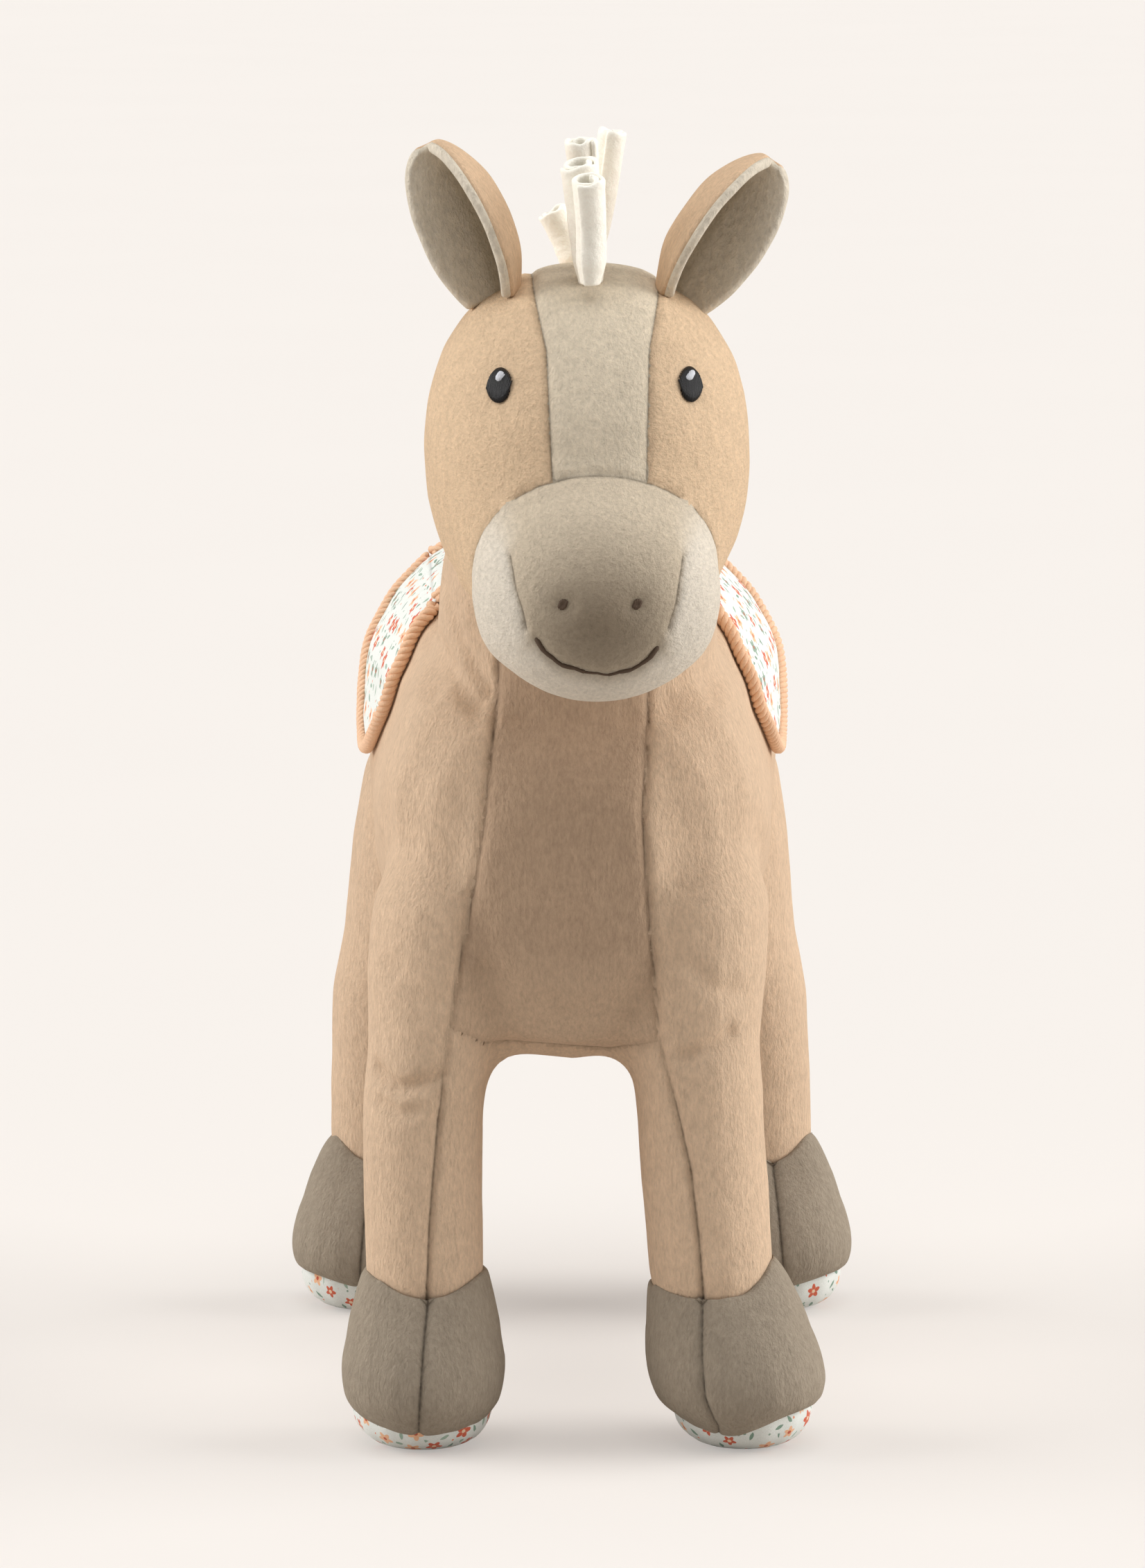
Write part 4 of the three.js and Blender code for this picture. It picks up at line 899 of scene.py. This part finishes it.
def cut_panels(mesh):
    """Splits the skin into closed pieces, each capped inside, with the whole skin's own normals."""
    points = coordinates(mesh)
    normals = normals_of(mesh)
    seams = np.zeros((2, len(points)))
    for row, kind in zip(seams, ("away", "mark")):
        mesh.attributes[kind].data.foreach_get("value", row)
    polygons = [tuple(p.vertices) for p in mesh.polygons]
    centres = to_pattern(np.array([points[list(p)].mean(axis=0) for p in polygons]))
    labels = settled(polygons, panel_at(centres))
    pieces = {}
    for index, name in enumerate(PANEL_NAMES):
        material, slot = PANELS[name][:2]
        faces = [p for p, label in zip(polygons, labels) if label == index]
        used = sorted({v for p in faces for v in p})
        renamed = {v: i for i, v in enumerate(used)}
        faces = [tuple(renamed[v] for v in p) for p in faces]
        edges = dict.fromkeys(pair for p in faces for pair in zip(p, p[1:] + p[:1]))
        follows = {}
        for a, b in edges:
            if (b, a) not in edges:
                follows.setdefault(b, []).append(a)
        verts = [points[v] for v in used]
        marks = [seams[:, v] for v in used]
        count = len(faces)
        while follows:
            start = next(iter(follows))
            loop, here = [start], start
            while True:
                options = follows[here]
                after = options.pop()
                if not options:
                    del follows[here]
                if after == start:
                    break
                loop.append(after)
                here = after
            middle = len(verts)
            inward = np.mean([normals[used[v]] for v in loop], axis=0)
            deep = CAP_DEPTH if np.linalg.norm(inward) > 0.25 else 0.0
            verts.append(np.mean([verts[v] for v in loop], axis=0) - inward * deep)
            marks.append(np.zeros(2))
            faces += [(middle, a, b) for a, b in zip(loop, loop[1:] + loop[:1])]
        piece = new_mesh(name, [Vector(v) for v in verts], faces)
        for row, kind in zip(np.array(marks).T, ("away", "mark")):
            remember(piece, kind, row)
        remember(piece, "rest", np.array(verts))
        # The muzzle's paler cheeks, and its painted light and painted shade
        if material == muzzle_plush:
            remember(piece, "pale_and_shade", muzzle_pale_and_shade(to_pattern(verts)))
        # Painted shade on the front of the chest and neck
        if name in ("chest_skin", "neck_skin"):
            remember(piece, "pale_and_shade", chest_painted_shade(to_pattern(verts)))
        custom = []
        for i, face in enumerate(faces):
            custom += [tuple(normals[used[v]]) if i < count else (0.0, 0.0, 0.0) for v in face]
        pieces[name] = finished(new_object(name, piece), material, slot)
        piece.normals_split_custom_set(custom)
    return pieces


panels = cut_panels(skin.data)
bpy.data.objects.remove(skin)
for name, (_, _, node, way) in PANELS.items():
    obj = panels[name]
    if len(way) == 1:
        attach(obj, way[0])
    else:
        body, other, direction, start, end = way
        on_start = Vector((direction * start + PATTERN_SHIFT) / 1000)
        on_end = Vector((direction * end + PATTERN_SHIFT) / 1000)
        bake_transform(obj)
    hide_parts(node)


# Hooves and soles

# From the ground up: how far out and how high a padded sole lies, in millimetres
SOLE_SECTION = ((4, 0), (11, 0.1), (16.5, 1.4), (20.5, 4.2), (23.2, 8), (24.3, 12.5), (24, 15))
SOLE_OUTLINE = smooth_line(SOLE_SECTION, 14)


def domed_sole(name, middle, shift):
    """A round padded sole, flat where it stands, with the flat place of its print at each point."""
    count = 56
    verts, flat = [], []
    run = np.concatenate([[0], np.cumsum(np.linalg.norm(np.diff(SOLE_OUTLINE, axis=0), axis=1))])
    for (out, height), gone in zip(SOLE_OUTLINE, run):
        spread = (SOLE_SECTION[0][0] + gone) / 1000
        for k in range(count):
            turn = 2 * math.pi * k / count
            puff = 1 + 0.012 * math.sin(turn * 14) * (height > 3)
            verts.append((middle.x + out * puff / 1000 * math.cos(turn),
                          middle.y + out * puff / 1000 * math.sin(turn), height / 1000))
            flat.append((spread * math.cos(turn) + shift, spread * math.sin(turn) + shift, 0))
    mesh = new_mesh(name, verts, tube_faces(0, len(SOLE_OUTLINE), count))
    remember(mesh, "flat", flat)
    return mesh


# How much higher each hoof's rim lies at its sides than in front, in metres
RIM_RISES = {"front_left": 0.0065, "front_right": 0.0025, "hind_left": 0.006, "hind_right": 0.006}
# The heights over which a hoof widens under its top, narrows to its sole and shows its rim
TOP_PART, LOWER_PART, RIM_PART = 0.018, 0.032, 0.018
for leg in LEGS:
    low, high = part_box(f"hoof_{leg}")
    hoof = copy_of(f"hoof_{leg}_skin", f"hoof_{leg}")
    fill_out(hoof, 0.0024, 0.003, 0.0012, 8)
    apply_modifier(hoof, "SUBSURF", levels=1, render_levels=1)
    middle = to_pattern((low + high) / 2)
    if leg.startswith("front"):
        line = CHEST_SEAMS[leg.split("_")[1]]
    else:
        line = ((0, middle[0] * 1.06), (70, middle[0] * 0.98))
    front = seam_cut(hoof.data, lambda p: p[:, 0] - across(line, p[:, 2]),
                     lambda p: p[:, 1] < middle[1] - 6)
    press_grooves(hoof.data, [(front, 1.2, 1.9, 1.0)])
    points = coordinates(hoof.data)
    away = points[:, :2] - np.array(((low + high) / 2)[:2])
    facing = -away[:, 1] / np.linalg.norm(away, axis=1).clip(1e-6)
    share = ((points[:, 2] - (high.z - 0.022)) / TOP_PART).clip(0, 1)
    points[:, 2] += share * (0.003 - 0.0075 * facing.clip(0, 1) ** 2)
    points[:, :2] += away * (0.035 * share)[:, None]
    outer = soft_step(0.5 + away[:, 0] * math.copysign(1, middle[0]) / 0.05)
    below = ((LOWER_PART - points[:, 2]) / LOWER_PART).clip(0, 1)
    points[:, :2] -= away * (0.32 * below**2)[:, None]
    aside = soft_step(abs(away[:, 0]) / 0.028) * (0.6 + 0.4 * outer)
    rim = soft_step((0.02 - points[:, 2]) / RIM_PART)
    points[:, 2] += (0.002 + RIM_RISES[leg] * aside) * rim
    points[:, 2] = points[:, 2].clip(0.001)
    move_vertices(hoof.data, points)
    remember(hoof.data, "rest", coordinates(hoof.data))
    finished(hoof, taupe_plush, "taupe_plush", f"leg_{leg}", f"hoof_{leg}")

    name = f"sole_{leg}_pad"
    low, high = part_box(f"sole_{leg}")
    sole = new_object(name, domed_sole(name, (low + high) / 2, 0.01 * len(leg)))
    finished(sole, sole_print, "printed_cotton", f"leg_{leg}", f"sole_{leg}")


# Ears: a peach back and a thick greige lining, each a cupped leaf of plush with rounded edges

EAR_LONG, EAR_HALF, EAR_CUP, EAR_TURN = 58.0, 23.0, 26.0, 41.0
EAR_FOLD, EAR_SWEEP = 2.4, 4.0
# Half the ear's width, as a share, at shares of its length
EAR_OUTLINE = smooth_line(((0, 0.58), (0.1, 0.76), (0.24, 0.92), (0.42, 1), (0.6, 0.97),
                           (0.75, 0.86), (0.88, 0.67), (0.96, 0.44), (1, 0.2)), 60)


def ear_leaf(name, side, lean, depth, wall, inset, outer):
    """A leaf of the ear, deep behind its front in millimetres, in the pattern's directions.

    Its outer side is drawn in to a share of its width, so that it stands steeply.
    """
    rows, columns = 30, 26
    verts, pale_and_shaded = [], []
    turn = math.radians(side * EAR_TURN)
    tilt = math.radians(side * lean)
    for i in range(rows + 1):
        share = i / rows
        half = max(float(np.interp(share, EAR_OUTLINE[:, 0], EAR_OUTLINE[:, 1])) * EAR_HALF, 3.0)
        reach = half - inset
        height = inset + share * (EAR_LONG - 2 * inset)
        held = float(soft_step(share * 3) * soft_step(3 - 3 * share))
        for j in range(columns + 1):
            over = (2 * j / columns - 1) * reach * side
            cup = EAR_CUP * (half / EAR_HALF / 2 - over**2 / (half * EAR_HALF))
            place = over / half * side
            deep = math.exp(-(((place + 0.42) / 0.3) ** 2)) * held
            cup += EAR_FOLD * deep
            # Painted light along the rim, and painted shade in the hollow, darkest at its fold
            rim = max(-place, 1.1 * share - 0.1, 0.72 + 0.8 * (place - 0.3))
            rim = float(soft_step((rim - 0.72) / 0.2))
            pale_and_shaded.append((rim, 0.9 * deep + 0.12 * (1 - rim), 0))
            over = over * (outer if place > 0 else 1.0) + side * EAR_SWEEP * share**2
            soft = 0.5 * noise.noise(Vector((over / 9, share * 5, depth + side)))
            back = cup + depth + soft
            x = over * math.cos(turn) - back * math.sin(turn)
            y = over * math.sin(turn) + back * math.cos(turn)
            verts.append((x * math.cos(tilt) + height * math.sin(tilt), y,
                          height * math.cos(tilt) - x * math.sin(tilt)))
    mesh = grid_mesh(name, [Vector(v) / 1000 for v in verts], columns)
    remember(mesh, "pale_and_shade", pale_and_shaded)
    ear = new_object(name, mesh)
    apply_modifier(ear, "SOLIDIFY", thickness=wall / 1000, offset=0.0)
    apply_modifier(ear, "SUBSURF", levels=2, render_levels=2)
    return ear


# Each leaf: how far behind the front it lies, its wall and how far its edge stays in, all in
# millimetres, the share of its width that its outer side keeps, and its finish
EAR_LEAVES = (
    ("shell", 1.2, 2.8, 0.2, 0.42, ear_plush, "peach_plush"),
    ("lining", -1.8, 3.4, 0.7, 0.38, lining_plush, "greige_plush"),
)
for side, name, lean in ((1, "left", 31.0), (-1, "right", 21.0)):
    low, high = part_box(f"ear_shell_{name}")
    for part, depth, wall, inset, outer, material, slot in EAR_LEAVES:
        ear = ear_leaf(f"ear_{part}_{name}_skin", side, lean, depth, wall, inset, outer)
        points = coordinates(ear.data)
        if part == "shell":
            shift = (np.array(low + high) - points.min(axis=0) - points.max(axis=0)) / 2
        move_vertices(ear.data, points + shift)
        finished(ear, material, slot, f"ear_{name}", f"ear_{part}_{name}")


# Mane and tail: strips of fleece, each rolled up along its line

# How often a strip is rolled round, its width at the foot as a share, and the fleece's wall
ROLL_TURNS, ROLL_FOOT, FLEECE_WALL = 1.55, 0.7, 0.0017


def rolled(node, body, line, radius, opening):
    """A strip of fleece for a CAD node, rolled up along a line.

    Its free edge lies towards the opening, in degrees.
    """
    name = f"{node}_fleece"
    line = [Vector(p) for p in smooth_line(line, 26)]
    count = 40
    verts = []
    ahead = Vector((math.cos(math.radians(opening)), math.sin(math.radians(opening)), 0.0))
    for i, (point, run, up, over) in enumerate(frames(line, ahead)):
        share = i / (len(line) - 1)
        wide = radius * (0.94 + 0.1 * share**3 + 0.05 * noise.noise(point * 90))
        wide *= ROLL_FOOT + (1 - ROLL_FOOT) * float(soft_step(share * 4))
        for k in range(count + 1):
            turn = 2 * math.pi * ROLL_TURNS * k / count
            soft = 1 + 0.05 * noise.noise(Vector((turn, 12 * share, opening)))
            out = (wide - FLEECE_WALL / 2) * (1 - 0.5 * k / count) * soft
            lip = run * (0.0014 * noise.noise(Vector((turn, opening, 3.0))) * share**6)
            verts.append(point + (up * math.cos(turn) + over * math.sin(turn)) * out + lip)
    mesh = grid_mesh(name, verts, count)
    long = sum((b - a).length for a, b in zip(line, line[1:]))
    strip = new_object(name, mesh)
    apply_modifier(strip, "SOLIDIFY", thickness=FLEECE_WALL, offset=0.0)
    apply_modifier(strip, "SUBSURF", levels=1, render_levels=1)
    finished(strip, cream_fleece, "cream_fleece", body, node)


# For each strip of the mane: its lean to the side in millimetres and to the back in steps of two
# thirds of one, its radius, its opening, and how far its foot and top lie above the CAD strip's
MANE = ((-1, -11, 6.6, 235, 9, 5), (-4, -9, 7.4, 200, 2, 0.5), (-3, -3, 6.0, 320, 0, 0.5),
        (8, 0, 5.8, 250, 0, 0.5), (-9, 4, 6.2, 160, 0, -3), (4, 20, 6.0, 300, 0, 0.5))
for index, (over, back, radius, opening, raised, higher) in enumerate(MANE, 1):
    node = f"mane_strip_{index}"
    low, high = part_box(node)
    middle = (low + high) / 2
    lean = Vector((over, 0, 0)) / 2000
    foot = Vector((middle.x, middle.y + 0.0015, low.z + raised / 1000)) - lean
    top = Vector((middle.x, middle.y + back / 1500, high.z + higher / 1000)) + lean
    belly = foot.lerp(top, 0.5) + Vector((0.0006, 0.0016, 0))
    rolled(node, "head", [foot, belly, top], radius / 1000, opening)

# The tail's middle line, as how far back and down from its root, and how it faces, in degrees
TAIL_ROOT_Y, TAIL_ROOT_Z, BUNCH = 136.3, 264, 7.7
TAIL_REACH, TAIL_BEND, TAIL_DROP, TAIL_SWEEP = 9.0, 20.0, 96.0, 5.0
bends = [(0, 0, 90), (TAIL_REACH, 0, 90)]
for turn in (30, 60, 90):
    angle = math.radians(turn)
    bends.append((TAIL_REACH + TAIL_BEND * math.sin(angle),
                  TAIL_BEND * (1 - math.cos(angle)), 90 - turn))
for share in (0.5, 1):
    bends.append((TAIL_REACH + TAIL_BEND + TAIL_SWEEP * share, TAIL_BEND + TAIL_DROP * share, 0))
for index, opening in enumerate((250, 330, 90)):
    around = math.radians(30 + 120 * index)
    out = BUNCH * math.sin(around)
    line = []
    for back, down, facing in bends:
        tilt = math.radians(facing)
        line.append(at(BUNCH * math.cos(around), TAIL_ROOT_Y + back + out * math.cos(tilt),
                       TAIL_ROOT_Z - down + out * math.sin(tilt)))
    rolled(f"tail_strip_{index + 1}", "tail", line, 0.0066, opening)


# Saddle cloth and its twisted cord

# The cloth's edge, as shares of the way down to its tip and of half its length along the back
SADDLE_EDGE = (
    (-0.12, -0.46), (0, -0.44), (0.12, -0.46), (0.28, -0.58), (0.46, -0.76), (0.64, -0.86),
    (0.8, -0.82), (0.91, -0.66), (0.98, -0.42), (1, -0.2), (0.965, 0.06), (0.88, 0.36),
    (0.77, 0.64), (0.64, 0.86), (0.46, 0.98), (0.25, 1), (0, 1), (-0.12, 1),
)
# The torso's section, and at shares of its length how far it is raised, and how wide and tall
TORSO_LENGTH, TORSO_FRONT, TORSO_MIDDLE = 283.0, -134.0, 221.0
TORSO_WIDE, TORSO_TALL, TORSO_FULLNESS = 76.0, 84.5, 2.3
TORSO_SHARES = np.array([
    [0.092, -0.14, 0.86, 0.855], [0.173, -0.07, 0.925, 0.945], [0.314, -0.02, 0.955, 0.985],
    [0.473, 0, 0.975, 1], [0.632, 0.01, 1, 0.99], [0.774, 0.035, 1, 0.955],
    [0.87, 0.07, 0.92, 0.86],
])
# The saddle's tip and the fold of its flaps, in degrees down from the spine
SADDLE_MIDDLE, SADDLE_HALF, SADDLE_TIP, SADDLE_FOLD = 6.0, 52.0, 83.0, 38.0
CORD_RADIUS, CORD_PITCH, CLOTH_LIFT = 2.4, 0.0078, 1.3


def on_back(arc, y, lift):
    """A place on the torso, arc millimetres down from the spine and y along it, lifted off it."""
    along = (y - TORSO_FRONT) / TORSO_LENGTH
    rise, wide, tall = (np.interp(along, TORSO_SHARES[:, 0], TORSO_SHARES[:, i])
                        for i in (1, 2, 3))

    def swell(value):
        return math.copysign(abs(value) ** (2 / TORSO_FULLNESS), value)

    turn = arc / TORSO_WIDE
    outward = Vector((wide * TORSO_WIDE * swell(math.sin(turn)), 0,
                      tall * TORSO_TALL * swell(math.cos(turn)))).normalized()
    start = at(0, y, TORSO_MIDDLE + rise * TORSO_TALL)
    hit, normal, _, _ = skin_tree.ray_cast(start + outward * 0.2, -outward)
    return hit + normal * (lift / 1000)


def flare(arc, y):
    """How far the cloth stands off the plush towards the lower rear edge, in millimetres."""
    down = soft_step((abs(arc) - 45) / 55)
    return float(2.0 * down * soft_step((y + 20) / 60))


reach = TORSO_WIDE * math.radians(SADDLE_TIP)
edge_line = smooth_line([(down * reach, SADDLE_MIDDLE + along * SADDLE_HALF)
                         for down, along in SADDLE_EDGE], 160)
tip = int(edge_line[:, 0].argmax())
front_edge, rear_edge = edge_line[: tip + 1], edge_line[tip:][::-1]
fold_arc = TORSO_WIDE * math.radians(SADDLE_FOLD)
tip_arc = float(edge_line[tip, 0])


def edges_at(arc):
    """How far along the back the cloth starts and ends, arc millimetres down from the spine."""
    return [np.interp(abs(arc), edge[:, 0], edge[:, 1]) for edge in (front_edge, rear_edge)]


def cut_size(from_arc, to_arc):
    """The longest span and the area of the cloth between two lines along the back, in metres."""
    arcs = np.linspace(from_arc, to_arc, 200)
    first, last = edges_at(arcs)
    spans = last - first
    area = abs(float(((spans[1:] + spans[:-1]) / 2 * np.diff(arcs)).sum())) / 1e6
    return float(spans.max()) / 1000, area


def saddle_sheet(name, from_arc, to_arc, rows, ease):
    """A sheet of the saddle cloth between two lines along the back."""
    verts, flat = [], []
    columns = 52
    for i in range(rows + 1):
        share = i / rows
        share = math.sin(share * math.pi / 2) if ease else share
        arc = from_arc + (to_arc - from_arc) * share
        first, last = edges_at(arc)
        for j in range(columns + 1):
            y = first + (last - first) * j / columns
            wave = 0.35 * noise.noise(Vector((arc, y, 0)) / 17)
            wave += 0.15 * noise.noise(Vector((arc, y, 9)) / 6)
            verts.append(on_back(arc, y, CLOTH_LIFT + wave + flare(arc, y)))
            flat.append((arc / 1000, y / 1000, 0))
    mesh = grid_mesh(name, verts, columns)
    outward = verts[0] - at(0, SADDLE_MIDDLE, TORSO_MIDDLE)
    if mesh.polygons[len(mesh.polygons) // 2].normal.dot(outward) < 0:
        mesh.flip_normals()
    remember(mesh, "flat", flat)
    obj = new_object(name, mesh)
    apply_modifier(obj, "SOLIDIFY", thickness=0.0016, offset=1.0)
    return finished(obj, saddle_print, "printed_cotton")


def twisted(name, line, radius):
    """A cord of three strands twisted round a line of points."""
    line = [Vector(p) for p in line]
    strands = []
    for strand in range(3):
        turned, points = 2 * math.pi * strand / 3, []
        for i, (point, _, up, over) in enumerate(frames(line)):
            if i:
                turned += 2 * math.pi * (point - line[i - 1]).length / CORD_PITCH
            out = (up * math.cos(turned) + over * math.sin(turned)) * radius * 0.56
            points.append(point + out)
        strands.append(points)
    return finished(tubes(name, strands, [radius * 0.5] * 3), peach_cord, "peach_cord")


# The cord's middle line on the flat cloth, a little more than its radius outside the edge
run = np.gradient(edge_line, axis=0)
run /= np.linalg.norm(run, axis=1)[:, None]
cord_line = edge_line + np.stack([run[:, 1], -run[:, 0]], axis=1) * (CORD_RADIUS + 0.2)

seat = saddle_sheet("saddle_seat_cloth", -fold_arc, fold_arc, 56, False)
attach(seat, "torso")
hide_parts("saddle_seat")
for name, side in (("left", 1), ("right", -1)):
    flap = saddle_sheet(f"saddle_flap_{name}_cloth", side * fold_arc, side * tip_arc, 44, True)
    fold = on_back(side * fold_arc, SADDLE_MIDDLE, CLOTH_LIFT)
    down = on_back(side * (fold_arc + 16), SADDLE_MIDDLE, CLOTH_LIFT)
    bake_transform(flap)
    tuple(down)
    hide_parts(f"saddle_flap_{name}")
    past = cord_line[cord_line[:, 0] > fold_arc]
    spots = [on_back(side * arc, y, CORD_RADIUS + 0.4 + flare(arc, y)) for arc, y in past]
    cord = twisted(f"flap_cord_{name}", smooth_line(spots, 420), CORD_RADIUS / 1000)
    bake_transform(cord)
    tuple(down)
    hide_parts(f"flap_piping_{name}")
    long, area = cut_size(fold_arc, tip_arc)
for name, half in (("front", cord_line[: tip + 1]), ("rear", cord_line[tip:][::-1])):
    half = half[(half[:, 0] >= 0) & (half[:, 0] < fold_arc)]
    half = half[half[:, 0].argsort()]
    spots = [on_back(-arc, y, CORD_RADIUS + 0.4) for arc, y in half[::-1]]
    spots += [on_back(arc, y, CORD_RADIUS + 0.4) for arc, y in half[1:]]
    cord = twisted(f"seat_cord_{name}", smooth_line(spots, 190), CORD_RADIUS / 1000)
    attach(cord, "torso")
    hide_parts(f"seat_piping_{name}")
long, area = cut_size(-fold_arc, fold_arc)


# Embroidery on the face


def satin(name, node, spacing, radius, lean, bulge, slim, lower):
    """An oval of threads laid side by side from edge to edge, raised in the middle."""
    low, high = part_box(node)
    middle, half = (low + high) / 2, (high - low) / 2
    middle.z -= lower
    half.x *= slim
    half.z *= 0.5 + slim / 2
    lines, radii = [], []
    count = max(2, round(2 * half.x / spacing))
    for i in range(count + 1):
        over = -1 + 2 * (i + 0.5) / (count + 1)
        reach = math.sqrt(1 - over * over) * half.z
        line = []
        for step in np.linspace(-1, 1, 9):
            x = middle.x + over * half.x + lean * step * half.x
            z = middle.z + step * reach
            crown = 1 - over * over * 0.6 - (step * reach / half.z) ** 2 * 0.4
            line.append(on_face(x, z, 0.0003 + bulge * crown - 0.0006 * (abs(step) > 0.99)))
        lines.append(line)
        radii.append([radius * (0.6 if abs(s) > 0.99 else 1.0) for s in np.linspace(-1, 1, 9)])
    return tubes(name, lines, radii, 6)


for side in ("left", "right"):
    aslant = -1 if side == "left" else 1
    for kind, material, slot, *form in (
        ("eye", black_thread, "black_thread", 0.0004, 0.0004, 0.12 * aslant, 0.0011, 0.88, 0),
        ("eye_glint", grey_thread, "grey_thread", 0.0004, 0.0004, 0.45, 0.0019, 0.7, 0.0013),
        ("nostril", brown_thread, "brown_thread", 0.0009, 0.0006, 0.3, -0.0002, 0.5, 0),
    ):
        node = f"{kind}_{side}"
        finished(satin(f"{node}_stitches", node, *form), material, slot, "head", node)

# The smile: short uneven stitches in brown thread, sunk into the plush and thicker at its corners
mouth = smooth_line(MOUTH_LINE, 73)
stitches, thick = [], []
for index, start in enumerate(range(0, 72, 6)):
    part = mouth[start : start + 8 + index % 2]
    slant = 0.3 * (1 if index % 2 else -1)
    tilt = np.linspace(-slant, slant, len(part))
    lift = [-0.0009] + [-0.0001] * (len(part) - 2) + [-0.0009]
    stitches.append([on_plush(x, z + up, sunk) for (x, z), up, sunk in zip(part, tilt, lift)])
    uneven = noise.noise(Vector((index * 1.7, 0.5, 0.2)))
    thick.append(0.00052 + 0.00038 * abs(index - 5.5) / 5.5 + 0.0003 * uneven)
finished(tubes("mouth_stitches", stitches, thick), brown_thread, "brown_thread",
         "head", "mouth_stitching")


# Floor, light and background
BACKDROP = "F9F3EE"
SOFT_WHITE = (1.0, 0.995, 0.985)
bpy.ops.mesh.primitive_plane_add(size=120, location=(0, 0, 0))
floor = bpy.context.object
floor.name = "floor"
ground = Finish("pale floor", 0.9, 0.0, None, 0.0)
spread = ground.noise(ground.place(), 3.0, 1.0)
ground.colour(ground.mix(spread, "B3AFAB", "B5B1AD"))
glow = ground.node("ShaderNodeEmission", {}, {0: BACKDROP, 1: 0.42})
both = ground.node("ShaderNodeAddShader", {}, {0: ground.shader.outputs[0], 1: glow.outputs[0]})
seen = ground.node("ShaderNodeLightPath").outputs["Is Camera Ray"]
bounce = ground.node("ShaderNodeBsdfDiffuse", {}, {0: "CFC9C3"})
shown = ground.node("ShaderNodeMixShader", {}, {0: seen, 1: bounce.outputs[0], 2: both.outputs[0]})
ground.set(ground.tree.nodes["Material Output"].inputs[0], shown.outputs[0])
floor.data.materials.append(ground.material)

world = bpy.data.worlds.new("studio")
scene.world = world
world.use_nodes = True
links, nodes = world.node_tree.links, world.node_tree.nodes
sky = nodes["Background"]
sky.inputs["Color"].default_value = (*SOFT_WHITE, 1.0)
sky.inputs["Strength"].default_value = 0.15
seen_sky = nodes.new("ShaderNodeBackground")
seen_sky.inputs["Color"].default_value = linear(BACKDROP)
rays = nodes.new("ShaderNodeLightPath")
pick = nodes.new("ShaderNodeMixShader")
links.new(rays.outputs["Is Camera Ray"], pick.inputs[0])
links.new(sky.outputs[0], pick.inputs[1])
links.new(seen_sky.outputs[0], pick.inputs[2])
links.new(pick.outputs[0], nodes["World Output"].inputs[0])


def lamp(name, aim_from, strength):
    data = bpy.data.lights.new(name, "SUN")
    data.energy = strength
    data.angle = math.radians(50)
    data.color = SOFT_WHITE
    obj = new_object(name, data)
    obj.rotation_euler = Vector(aim_from).to_track_quat("Z", "Y").to_euler()


lamp("softbox to the left", (-1, 0.05, 0.32), 2.7)
lamp("softbox to the right", (1, 0.05, 0.32), 3.2)
lamp("softbox above", (0, -0.2, 1), 1.5)
